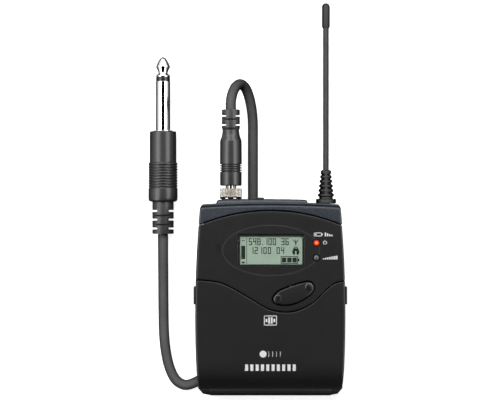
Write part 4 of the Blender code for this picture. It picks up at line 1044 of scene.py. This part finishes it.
def make_mute_knob():
    """Slider with three ridges across its top."""
    low, high = span("mute_knob")
    knob = box("mute_slider", (low[0], high[0]), (low[1], high[1] - 0.2), (low[2], high[2]), bevel=0.15)
    ridges = [box("ridge", (low[0] + 0.45 + 0.75 * i, low[0] + 0.8 + 0.75 * i), (high[1] - 0.5, high[1]),
                  (low[2] + 0.2, high[2] - 0.2)) for i in range(3)]
    combine(knob, ridges, "UNION")
    finish(knob, "button", "mute_knob", ["mute_knob"])


# ---------------------------------------------------------------- display

SEGMENTS = {
    "0": "abcdef", "1": "bc", "2": "abged", "3": "abgcd", "4": "fgbc", "5": "afgcd", "6": "afgedc",
    "7": "abc", "8": "abcdefg", "9": "abfgcd", "-": "g",
}
LCD_TOP = Z_SKIN - 0.3
LCD_HALF = (13.32, 6.03)
FIGURE_LINE = 0.36


def segment_bars(x, y, wide, tall, letters):
    """Bars of one seven-segment figure whose lower left corner is at (x, y)."""
    bar = FIGURE_LINE
    mid = y + tall / 2
    places = {
        "a": (x, x + wide, y + tall - bar, y + tall), "d": (x, x + wide, y, y + bar),
        "g": (x, x + wide, mid - bar / 2, mid + bar / 2),
        "f": (x, x + bar, mid, y + tall), "e": (x, x + bar, y, mid),
        "b": (x + wide - bar, x + wide, mid, y + tall), "c": (x + wide - bar, x + wide, y, mid),
    }
    return [places[letter] for letter in letters]


def write_figures(text, x, y, wide, tall, pitch):
    """Bars of a row of figures; a point takes less room than a figure."""
    bars = []
    for sign in text:
        if sign == ".":
            bars.append((x + 0.35, x + 0.35 + FIGURE_LINE, y, y + FIGURE_LINE * 1.2))
            x += pitch * 0.62
            continue
        if sign != " ":
            bars += segment_bars(x, y, wide, tall, SEGMENTS[sign])
        x += pitch
    return bars


def plates(name, outlines, low, high):
    """Many flat shapes as one piece."""
    bm = bmesh.new()
    for outline in outlines:
        under = [bm.verts.new(place((x, y, low))) for x, y in outline]
        over = [bm.verts.new(place((x, y, high))) for x, y in outline]
        bm.faces.new(list(reversed(under)))
        bm.faces.new(over)
        for i in range(len(outline)):
            j = (i + 1) % len(outline)
            bm.faces.new((under[i], under[j], over[j], over[i]))
    return add_object(name, bm)


def bar_outlines(bars):
    """Outlines of (x0, x1, y0, y1) bars."""
    return [[(x0, y0), (x1, y0), (x1, y1), (x0, y1)] for x0, x1, y0, y1 in bars]


def stroke(x0, y0, x1, y1, wide):
    """Outline of a straight line of some width between two points."""
    along = Vector((x1 - x0, y1 - y0)).normalized() * wide / 2
    side = Vector((along.y, -along.x))
    start, end = Vector((x0, y0)), Vector((x1, y1))
    return [tuple(p) for p in (start + side, end + side, end - side, start - side)]


def arc_stroke(x, y, radius, start, end, wide, steps=16):
    """Outline of an arc of some width, from one angle in degrees anticlockwise to another."""
    turns = [math.radians(start + (end - start) * i / steps) for i in range(steps + 1)]
    outer, inner = ([(x + r * math.cos(a), y + r * math.sin(a)) for a in turns]
                    for r in (radius + wide / 2, radius - wide / 2))
    return outer + list(reversed(inner))


def frame_bars(x0, x1, y0, y1, line):
    """Four bars round a rectangle."""
    return [(x0, x1, y0, y0 + line), (x0, x1, y1 - line, y1),
            (x0, x0 + line, y0, y1), (x1 - line, x1, y0, y1)]


def make_display():
    """Liquid-crystal module, its figures and icons, and the window over it."""
    cx, cy = DISPLAY
    low, high = span("lcd_module")
    module = box("lcd_body", (low[0], high[0]), (low[1], high[1]), (low[2], high[2] - 0.05), bevel=0.2)
    finish(module, "bezel", "casing", ["lcd_module"])
    half_x, half_y = LCD_HALF
    glass = prism("lcd_glass", rounded_rectangle(cx - half_x, cx + half_x, cy - half_y, cy + half_y, 0.2),
                  high[2] - 0.06, LCD_TOP + 0.02)
    finish(glass, "display", "casing")
    left, base = cx - half_x, cy - half_y
    bars = write_figures("548.100 36", left + 3.9, base + 8.2, 1.36, 2.9, 1.80)
    bars += write_figures("12100 04", left + 4.5, base + 4.5, 1.36, 2.85, 1.86)
    bars += level_bars(left + 0.7, base + 0.5)
    signs = bar_outlines(bars) + battery_icon(left + 17.4, base + 0.3)
    signs += antenna_icon(left + 23.8, base + 8.0) + lock_icon(left + 23.8, base + 4.0)
    figures = plates("lcd_figures", signs, LCD_TOP + 0.02, LCD_TOP + 0.06)
    finish(figures, "segment", "casing")
    wide, tall = WINDOW_HALF[0] - 0.15, WINDOW_HALF[1] - 0.15
    window = prism("window_plate", rounded_rectangle(cx - wide, cx + wide, cy - tall, cy + tall, 0.6),
                   Z_SKIN + 0.8, Z_FRONT - 0.3)
    round_edges(window, 0.12, 2)
    finish(window, "window", "casing", ["display_window"])
    rim_outer = rounded_rectangle(cx - wide, cx + wide, cy - tall, cy + tall, 0.6)
    rim = ring_plate("window_mask", rim_outer, grown(rim_outer, -0.55), Z_SKIN + 0.52, Z_SKIN + 0.74)
    finish(rim, "bezel", "casing")


def level_bars(x, y):
    """Solid level column with a dash at each end, and the divider beside it."""
    return [(x, x + 1.65, y + 1.8, y + 7.4), (x + 0.2, x + 1.4, y + 9.5, y + 9.8),
            (x + 0.2, x + 1.4, y, y + 0.7), (x + 2.2, x + 2.4, y - 0.2, y + 10.9)]


def antenna_icon(x, y):
    """Upright mast with two arms."""
    return [stroke(x, y, x, y + 2.6, 0.35), stroke(x, y + 1.0, x - 1.25, y + 2.6, 0.3),
            stroke(x, y + 1.0, x + 1.25, y + 2.6, 0.3)]


def lock_icon(x, y):
    """Round padlock with a keyhole."""
    return [arc_stroke(x, y + 1.35, 0.95, -70, 250, 1.15), arc_stroke(x, y + 2.45, 0.95, 0, 180, 0.36)]


def battery_icon(x, y):
    """Battery outline with three filled blocks."""
    bars = frame_bars(x, x + 7.3, y, y + 3.2, 0.32) + [(x + 7.3, x + 7.9, y + 1.0, y + 2.2)]
    bars += [(x + 0.55 + 2.2 * i, x + 2.4 + 2.2 * i, y + 0.58, y + 2.62) for i in range(3)]
    return bar_outlines(bars)


def ring_plate(name, outer, inner, low, high):
    """A flat frame between two outlines of equally many points."""
    rings = [[(x, y, z) for x, y in line] for line, z in
             ((outer, low), (outer, high), (inner, high), (inner, low), (outer, low))]
    return loft(name, rings, closed=False)


def make_indicators():
    """Two domed lenses in dark rings, the upper one lit, and the slim infrared window."""
    lenses = (("led_on_lens", LED_Y[0], "led", 1.30), ("led_peak_lens", LED_Y[1], "led_off", 1.08))
    for name, y, look, radius in lenses:
        turns = [math.radians(10 * i) for i in range(9)]
        bulge = [(radius * math.cos(a), 3.0 + 0.6 * math.sin(a)) for a in turns]
        lens = turned_along(name + "_dome", [(1.75, 0), (1.75, 0.8), (radius, 0.8)] + bulge + [(0.02, 3.6)],
                            (LED_X, y, Z_SKIN - 1.3), (0, 0, 1), 48)
        finish(lens, look, "casing", [name])
        ring = ring_plate(name + "_ring", circle(LED_X, y, 1.72), circle(LED_X, y, radius + 0.02),
                          Z_FRONT - 0.5, Z_FRONT + 0.08)
        finish(ring, "shade_and_mark_black", "casing")
    x, y = INFRARED
    slit = prism("infrared_plate", rounded_rectangle(x - 0.5, x + 0.5, y - 1.33, y + 1.33, 0.48),
                 Z_SKIN - 0.2, Z_FRONT - 0.3)
    finish(slit, "button", "casing", ["infrared_window"])


def make_front_marks():
    """Raised hairline oval round the display and plain printed signs."""
    cx, cy = DISPLAY
    oval = [(cx + 20.5 * math.cos(a), cy + 10.65 * math.sin(a)) for a in full_turn(160)]
    line = ring_plate("oval_line", grown(oval, 0.16), grown(oval, -0.16), Z_FRONT - 0.05, Z_FRONT + 0.03)
    finish(line, "hairline", "casing")
    top = Z_FRONT + 0.012
    signs = low_battery_sign(LED_X - 1.1, 67.95) + power_sign(LED_X + 3.6, LED_Y[0] + 0.1)
    signs += level_wedge(LED_X + 2.7, LED_Y[1] - 0.7)
    finish(plates("panel_signs", signs, Z_FRONT - 0.05, top), "print", "casing")
    finish(plates("cover_signs", emblem_sign(0.0, 32.4) + radio_sign(-3.1, 18.2) + scale_row(11.1, 2.75),
                  Z_FRONT - 0.05, top), "print", "cover")


def level_wedge(x, y):
    """Eight bars, each taller than the one before."""
    return bar_outlines([(x + 0.8 * i, x + 0.58 + 0.8 * i, y, y + 0.5 + 0.16 * i) for i in range(8)])


def low_battery_sign(x, y):
    """Nearly empty battery and four bars, each shorter than the one before."""
    bars = frame_bars(x, x + 3.4, y, y + 1.6, 0.3) + [(x + 3.4, x + 3.75, y + 0.45, y + 1.15),
                                                       (x + 0.55, x + 1.15, y + 0.5, y + 1.1)]
    bars += [(x + 4.6 + 0.9 * i, x + 5.2 + 0.9 * i, y, y + 1.6 - 0.32 * i) for i in range(4)]
    return bar_outlines(bars)


def power_sign(x, y):
    """Open ring with a line in its gap."""
    return [arc_stroke(x, y, 0.72, 125, 415, 0.24), stroke(x, y + 0.15, x, y + 1.05, 0.24)]


def emblem_sign(x, y):
    """Boxed row of bold sound bars."""
    wide, tall = 2.75, 2.1
    bars = frame_bars(x - wide, x + wide, y - tall, y + tall, 0.34)
    for i, half in enumerate((0.7, 1.35, 1.35, 0.7)):
        middle_x = x - 1.65 + 1.1 * i
        bars.append((middle_x - 0.38, middle_x + 0.38, y - half, y + half))
    return bar_outlines(bars)


def radio_sign(x, y):
    """Disc with four arcs of one height to its right."""
    arcs = []
    for i in range(4):
        radius = 2.5 + 1.6 * i
        reach = math.degrees(math.asin(1.15 / radius))
        arcs.append(arc_stroke(x, y, radius, -reach, reach, 0.2))
    return [circle(x, y, 1.45, 32)] + arcs


def scale_row(y, tall):
    """Row of ten solid blocks."""
    count, half, gap = 10, 11.2, 0.95
    pitch = 2 * half / count
    return bar_outlines([(-half + pitch * i + gap / 2, -half + pitch * (i + 1) - gap / 2, y, y + tall)
                         for i in range(count)])


# ---------------------------------------------------------------- belt clip and batteries

def sweep(name, points, radius, sides=24):
    """Round wire along a line of points."""
    path = [Vector(p) for p in points]
    rings = []
    across = (path[1] - path[0]).normalized().orthogonal().normalized()
    for i, point in enumerate(path):
        along = (path[min(i + 1, len(path) - 1)] - path[max(i - 1, 0)]).normalized()
        across = (across - along * across.dot(along)).normalized()
        other = along.cross(across)
        rings.append([point + (across * math.cos(a) + other * math.sin(a)) * radius
                      for a in full_turn(sides)])
    return loft(name, rings)


def make_belt_clip():
    """Round wire bow on the back."""
    y, z = CLIP_PIVOT
    low_z, foot_y, bend = CLIP_RADIUS, 12.0, 9.0
    half = [(19.4, y, z), (CLIP_HALF - 1.2, y, z), (CLIP_HALF - 0.3, y - 0.3, z - 0.1),
            (CLIP_HALF, y - 1.4, z - 0.6), (CLIP_HALF, 64.0, 2.6), (CLIP_HALF, 59.5, 1.35),
            (CLIP_HALF, 56.0, low_z)]
    for i in range(7):
        a = math.radians(90 * i / 6)
        half.append((CLIP_HALF - bend * (1 - math.cos(a)), foot_y + bend * (1 - math.sin(a)), low_z))
    points = half + [(-px, py, pz) for px, py, pz in reversed(half)]
    clip = sweep("belt_clip_wire", spline(points, 5), CLIP_RADIUS)
    finish(clip, "clip", "belt_clip", ["belt_clip"])


def make_cells():
    """Sleeved cells, each with a bright button and a copper band at one end."""
    for name in ("battery_lower", "battery_upper"):
        low, high = span(name)
        y, z = middle(name)[1:]
        radius = (high[1] - low[1]) / 2
        facing = 1 if name == "battery_lower" else -1
        way = (facing, 0, 0)
        start = (low[0] if facing > 0 else high[0], y, z)
        length = high[0] - low[0]
        body = length - 1.3
        sleeve = soften([(5.6, 0.02), (radius - 0.1, 0.02), (radius, 0.4), (radius, body - 0.2),
                         (5.4, body - 0.15)], 0.3)
        finish(turned_along(name + "_sleeve", sleeve, start, way, 72), "cell", "casing", [name])
        band = soften([(radius - 0.2, body * 0.72), (radius + 0.03, body * 0.72), (radius + 0.03, body - 1.0),
                       (radius - 0.2, body - 1.0)], 0.05)
        finish(turned_along(name + "_band", band, start, way, 72), "gold", "casing")
        nub = soften([(5.4, body - 0.3), (5.4, body), (2.75, body + 0.02), (2.7, length - 0.2), (2.3, length),
                      (0.1, length)], 0.2)
        finish(turned_along(name + "_button", nub, start, way, 48), "nickel", "casing")


# ---------------------------------------------------------------- antenna

def make_antenna_boot():
    """Rubber foot and six shrinking beads, joined by a thin web."""
    foot = 81.75
    profile = [(1.6, foot), (4.0, foot), (4.35, foot + 0.3), (4.35, foot + 1.7), (4.1, foot + 2.05),
               (3.0, foot + 2.1)]
    beads, first, pitch = 6, 85.4, 1.96
    spine = []
    for i in range(beads):
        centre, radius = first + pitch * i, 3.48 - 0.235 * i
        neck = radius - 0.62
        half = 0.66 if i < beads - 1 else 0.9
        profile.append((neck, centre - half - 0.2))
        for k in range(7):
            a = math.radians(-90 + 30 * k)
            profile.append((radius - 0.42 * (1 - math.cos(a)), centre + half * math.sin(a)))
        profile.append((neck, centre + half + 0.2))
        spine.append((centre, Z_MID + radius - 0.12))
    profile[-1] = (1.5, profile[-2][1] + 0.1)
    boot = turned("antenna_boot_ribs", profile, ANTENNA_X, Z_MID, radius=0.12)
    side = spine + [(spine[-1][0], Z_MID), (spine[0][0], Z_MID)]
    web = loft("web", [[(x, y, z) for y, z in side] for x in (ANTENNA_X - 0.5, ANTENNA_X + 0.5)])
    combine(boot, [web], "UNION")
    finish(boot, "rubber", "casing", ["antenna_boot"])


def make_antenna_rod():
    """Slim rod and thicker round-ended tip."""
    low, high = span("antenna_rod")
    top = high[1] + 0.8
    profile = [(0.4, low[1]), (1.25, low[1]), (1.25, top), (0.4, top)]
    whip = turned("antenna_whip", profile, ANTENNA_X, Z_MID, 48)
    finish(whip, "whip", "casing", ["antenna_rod"])
    low, high = span("antenna_tip")
    tip_radius = (high[0] - low[0]) / 2
    profile = [(1.3, low[1]), (tip_radius - 0.25, low[1]), (tip_radius, low[1] + 0.5)]
    for i in range(9):
        a = math.radians(11 * i)
        profile.append((tip_radius * math.cos(a) + 0.02, high[1] - tip_radius * (1 - math.sin(a))))
    tip = turned("antenna_tip_cap", profile, ANTENNA_X, Z_MID, 64, radius=0.0)
    finish(tip, "rubber", "casing", ["antenna_tip"])


# ---------------------------------------------------------------- coupling ring and socket

def paint_shade_on(piece, is_low):
    """Painted shade: give the near-black material to the faces whose centre, in the casing's frame, is low."""
    piece.data.materials.append(MATERIALS["shade_and_mark_black"])
    for face in piece.data.polygons:
        if is_low((face.center - Vector((0.0, FOOT, 0.0))) / MM):
            face.material_index = 1


RING_PADS = 8
RING_BORE = 3.9
DIAMONDS = 44                  # round the ring
DIAMOND_PITCH = 2.6 / 3.6      # height of one diamond
KNURL_DEPTH = 0.36
FLUTE_DEPTH = 0.30
PLAIN_EDGE = 0.16              # without knurl at either end


def ring_flute(turn):
    """1 on a pad and 0 in a flute, at an angle; one pad is centred at the front."""
    around = ((turn - math.pi / 2) * RING_PADS / (2 * math.pi)) % 1.0
    return min(max((0.43 - min(around, 1 - around)) / 0.05, 0.0), 1.0)


def ring_knurl(turn, height):
    """Height of the diamond pattern at an angle and a height on the ring, from 0 to 1."""
    around, along = turn * DIAMONDS / (2 * math.pi), height / DIAMOND_PITCH
    return min(abs((around + way * along) % 1.0 - 0.5) * 2 for way in (1, -1))


def make_lock_ring():
    """Coupling ring: eight pads with shallow flutes between them, diamond-knurled all round."""
    low, high = span("lock_ring")
    y0, y1 = low[1], high[1]
    radius = (high[0] - low[0]) / 2
    steps, levels = 384, 44
    rings = [hoop(PLUG_X, y0, Z_MID, RING_BORE, steps)]
    for k in range(levels + 1):
        y = y0 + (y1 - y0) * k / levels
        edge = min(y - y0, y1 - y)
        chamfer = 0.4 * max(0.0, 1 - edge / 0.35)
        ring = []
        for a in full_turn(steps):
            knurl = KNURL_DEPTH * (1 - ring_knurl(a, y - y0)) * (edge > PLAIN_EDGE)
            r = radius - chamfer - FLUTE_DEPTH * (1 - ring_flute(a)) - knurl
            ring.append((PLUG_X + r * math.cos(a), y, Z_MID + r * math.sin(a)))
        rings.append(ring)
    rings += [hoop(PLUG_X, y, Z_MID, r, steps) for r, y in
              ((2.95, y1), (2.95, y1 - 1.1), (RING_BORE, y1 - 1.1), (RING_BORE, y0))]
    ring = loft("lock_ring_knurled", rings, closed=False)
    finish(ring, "nickel", "lock_ring", ["lock_ring"], angle=20)

    def in_valley(centre):
        """Whether a face centre lies low in the knurl."""
        x, z = centre.x - PLUG_X, centre.z - Z_MID
        outside = math.hypot(x, z) > RING_BORE + 0.05 and PLAIN_EDGE < centre.y - y0 < y1 - y0 - PLAIN_EDGE
        return outside and ring_knurl(math.atan2(z, x), centre.y - y0) < 0.10

    # painted shade: the knurl's valleys get the near-black material
    paint_shade_on(ring, in_valley)


def make_socket():
    """Socket collar with a near-black notched skirt under the coupling ring's pads, painted as their shade,
    and the threaded bush.
    """
    profile = [(2.1, 70.0), (3.9, 70.0), (3.9, 83.6), (4.6, 83.85), (4.6, 84.2), (3.5, 84.2)]
    for i in range(4):
        profile += [(3.5, 84.3 + 0.52 * i), (3.3, 84.54 + 0.52 * i)]
    profile += [(3.5, 86.4), (2.1, 86.4)]
    socket = turned("socket_bush", profile, PLUG_X, Z_MID, 64, radius=0.06)
    finish(socket, "nickel", "casing", ["audio_socket"])
    # painted shade: one near-black plate under each pad of the coupling ring
    for i in range(RING_PADS):
        middle_turn = math.pi / 2 + 2 * math.pi * i / RING_PADS
        arc = [middle_turn + math.radians(14.5) * (2 * k / 8 - 1) for k in range(9)]
        outline = [(4.72, a) for a in arc] + [(4.0, a) for a in reversed(arc)]
        rings = [[(PLUG_X + r * math.cos(a), y, Z_MID + r * math.sin(a)) for r, a in outline]
                 for y in (83.75, 84.5)]
        finish(loft(f"socket_pad_shade_{i + 1}", rings), "shade_and_mark_black", "casing")


# ---------------------------------------------------------------- plugs and lead

def fluted_tube(name, radius, span_y, x, z, flutes, depth, steps=288):
    """A tube along Y with round flutes, one of them at the front."""
    turns = full_turn(steps)
    reach = [radius - depth * max(0.0, math.cos(flutes * a)) for a in turns]
    rings = [[(x + r * math.cos(a), y, z + r * math.sin(a)) for a, r in zip(turns, reach)] for y in span_y]
    return loft(name, rings)


def slotted_boot(name, profile, x, z, side_slots, front_slots, slot, depth, radius):
    """A strain relief with slots cut by turns into its sides and into its front and back."""
    boot = turned(name, profile, x, z, 72, radius=0.15)
    tools = []
    for y in side_slots:
        for side in (-1, 1):
            reach = sorted((x + side * (radius - depth), x + side * (radius + 1)))
            tools.append(box("slot", reach, (y - slot / 2, y + slot / 2), (z - radius - 1, z + radius + 1)))
    for y in front_slots:
        for side in (-1, 1):
            reach = sorted((z + side * (radius - depth * 0.8), z + side * (radius + 1)))
            tools.append(box("slot", (x - radius * 0.8, x + radius * 0.8),
                             (y - slot * 0.42, y + slot * 0.42), reach))
    for tool in tools:
        combine(boot, [tool], "DIFFERENCE")
    return boot


def make_small_plug():
    """Locking 3.5 mm plug: fluted neck, handle with four fine grooves, slotted boot."""
    contact = [(0.05, 72.0), (0.9, 72.3), (1.6, 73.2), (1.0, 74.4), (1.75, 75.2), (1.75, 86.4), (0.1, 86.4)]
    finish(turned("plug_pin", contact, PLUG_X, Z_MID, 48), "gold", "casing", ["plug_contact"])
    neck = fluted_tube("plug_neck", 2.3, (86.7, 89.6), PLUG_X, Z_MID, 12, 0.5)
    finish(neck, "nickel", "casing")
    # painted shade: the bottoms of the neck's flutes get the near-black material
    paint_shade_on(neck, lambda centre: math.hypot(centre.x - PLUG_X, centre.z - Z_MID) < 2.15)
    low, shoulder, high = 89.45, 109.1, 113.3
    handle = [(1.0, low), (4.3, low), (4.65, low + 0.35), (4.65, 95.2)]
    for i in range(4):
        y = 95.4 + i * 0.95
        handle += [(4.72, y - 0.12), (4.72, y), (4.0, y + 0.12), (4.0, y + 0.38), (4.72, y + 0.50),
                   (4.72, y + 0.62)]
    handle += [(4.65, shoulder - 0.5), (4.5, shoulder + 0.2), (4.1, shoulder + 1.1), (3.8, shoulder + 2.2),
               (3.62, shoulder + 3.4), (3.55, high), (1.0, high)]
    barrel = turned("plug_barrel", handle, PLUG_X, Z_MID, 96, radius=0.14)
    finish(barrel, "plug", "casing", ["plug_handle"])
    boot_low, boot_high = 113.45, 122.2
    profile = [(1.0, boot_low - 0.2), (3.5, boot_low - 0.2), (3.9, boot_low + 0.9), (3.9, boot_high - 0.1),
               (3.3, boot_high), (BOOT_NECK, boot_high), (BOOT_NECK, boot_high + 0.5),
               (1.0, boot_high + 0.5)]
    boot = slotted_boot("plug_strain_relief", profile, PLUG_X, Z_MID, side_slots=(115.6, 119.5),
                        front_slots=(114.0, 117.9), slot=0.8, depth=1.9, radius=3.9)
    finish(boot, "boot", "casing", ["plug_boot"])


def make_jack():
    """6.3 mm jack: slotted boot, ribbed handle, polished sleeve and tip with a dark ring between."""
    profile = [(1.0, 67.7), (BOOT_NECK, 67.7), (BOOT_NECK, 68.5), (4.7, 68.5), (4.7, 82.6), (1.0, 82.6)]
    boot = slotted_boot("jack_strain_relief", profile, JACK_X, JACK_Z, side_slots=(70.8, 74.7, 78.5),
                        front_slots=(72.6, 76.5), slot=0.85, depth=2.4, radius=4.7)
    finish(boot, "boot", "casing", ["jack_boot"])
    handle = [(1.0, 82.55), (5.5, 82.55), (6.3, 83.2), (6.4, 84.2), (6.4, 88.5)]
    ribs, low, high = 9, 88.7, 99.5
    pitch = (high - low) / ribs
    for i in range(ribs):
        base = low + i * pitch
        handle += [(6.02, base), (6.02, base + 0.22 * pitch), (6.42, base + 0.42 * pitch),
                   (6.42, base + 0.86 * pitch)]
    handle += [(5.85, 99.75), (5.85, 113.1), (5.55, 113.4), (1.0, 113.4)]
    barrel = turned("jack_barrel", handle, JACK_X, JACK_Z, 96, radius=0.22)
    finish(barrel, "plug", "casing", ["jack_handle"])
    sleeve = [(1.0, 113.45), (4.2, 113.45), (4.2, 113.75), (3.15, 113.8), (3.15, 135.3), (1.0, 135.3)]
    shank = turned("jack_shank", sleeve, JACK_X, JACK_Z, 96)
    finish(shank, "chrome", "casing", ["jack_sleeve"])
    ring = [(1.0, 135.35), (3.05, 135.35), (3.05, 137.15), (1.0, 137.15)]
    finish(turned("jack_ring", ring, JACK_X, JACK_Z, 96), "bezel", "casing", ["jack_insulator"])
    tip = [(1.0, 137.2), (3.05, 137.2), (3.1, 137.9), (2.0, 138.7), (1.95, 139.2), (2.6, 140.7), (3.05, 141.5),
           (3.05, 142.0), (2.2, 143.9), (1.2, 145.5), (0.5, 145.95), (0.05, 146.0)]
    point = turned("jack_point", tip, JACK_X, JACK_Z, 96, radius=0.4)
    finish(point, "chrome", "casing", ["jack_tip"])


CORD_ROUTE = [
    (PLUG_X, 122.5, Z_MID), (-16.85, 125.6, 19.4), (-16.2, 129.2, 18.1), (-14.8, 132.3, 15.8),
    (-12.75, 133.7, 12.6), (-10.6, 132.2, 9.4), (-9.0, 128.4, 6.6), (-7.9, 123.2, 4.3),
    (-7.4, 117.4, 2.8), (-7.35, 110.5, 2.3), (-7.35, 95.0, 2.3), (-7.35, 78.0, 2.3),
    (-7.5, 60.0, 2.3), (-8.2, 44.0, 2.35), (-10.6, 30.5, 3.0), (-15.6, 19.0, 4.75),
    (-22.6, 10.2, 4.85), (-28.4, 5.6, 3.9), (-33.2, 2.7, 2.7), (-37.4, 1.7, 2.3),
    (-41.3, 3.9, 2.3), (-44.1, 9.2, 2.3), (-45.8, 16.6, 2.3), (-46.6, 25.0, 2.4),
    (-46.8, 36.0, 3.1), (-46.8, 48.0, 4.6), (-46.8, 59.0, 6.1), (-46.8, 67.9, JACK_Z),
]


def make_cord():
    """The lead between the two plugs, along the same route as in the frame."""
    points = [place(p) for p in spline(CORD_ROUTE, 8)]
    data = bpy.data.curves.new("lead", "CURVE")
    data.dimensions = "3D"
    data.bevel_depth = CORD_DIAMETER / 2 * MM
    data.bevel_resolution = 8
    data.use_fill_caps = True
    line = data.splines.new("POLY")
    line.points.add(len(points) - 1)
    for target, point in zip(line.points, points):
        target.co = (*point, 1.0)
    line.use_smooth = True
    lead = bpy.data.objects.new("lead", data)
    bpy.context.collection.objects.link(lead)
    finish(lead, "cord", "casing", ["cord"])


# ---------------------------------------------------------------- pieces kept from the frame

def dress_frame_nodes():
    """Gives every node that stays on show a finish of its own."""
    looks = {"battery_tray": "inner", "display": "bezel", "mute_switch": "steel", "hinge_pin_left": "pin",
             "hinge_pin_right": "pin"}
    for name, obj in frame["nodes"].items():
        look = looks.get(name, SLOT_OF[name])
        obj.data.materials.clear()
        obj.data.materials.append(MATERIALS[look])
        smooth(obj, 30)


def main():
    """The whole scene, one group of pieces after another."""
    make_camera()
    make_studio()
    dress_frame_nodes()
    make_rear_housing()
    make_front_panel()
    make_battery_cover()
    make_top_cap()
    make_rocker()
    make_catches()
    make_deck_buttons()
    make_mute_knob()
    make_display()
    make_indicators()
    make_front_marks()
    make_belt_clip()
    make_cells()
    make_antenna_boot()
    make_antenna_rod()
    make_lock_ring()
    make_socket()
    make_small_plug()
    make_jack()
    make_cord()


main()
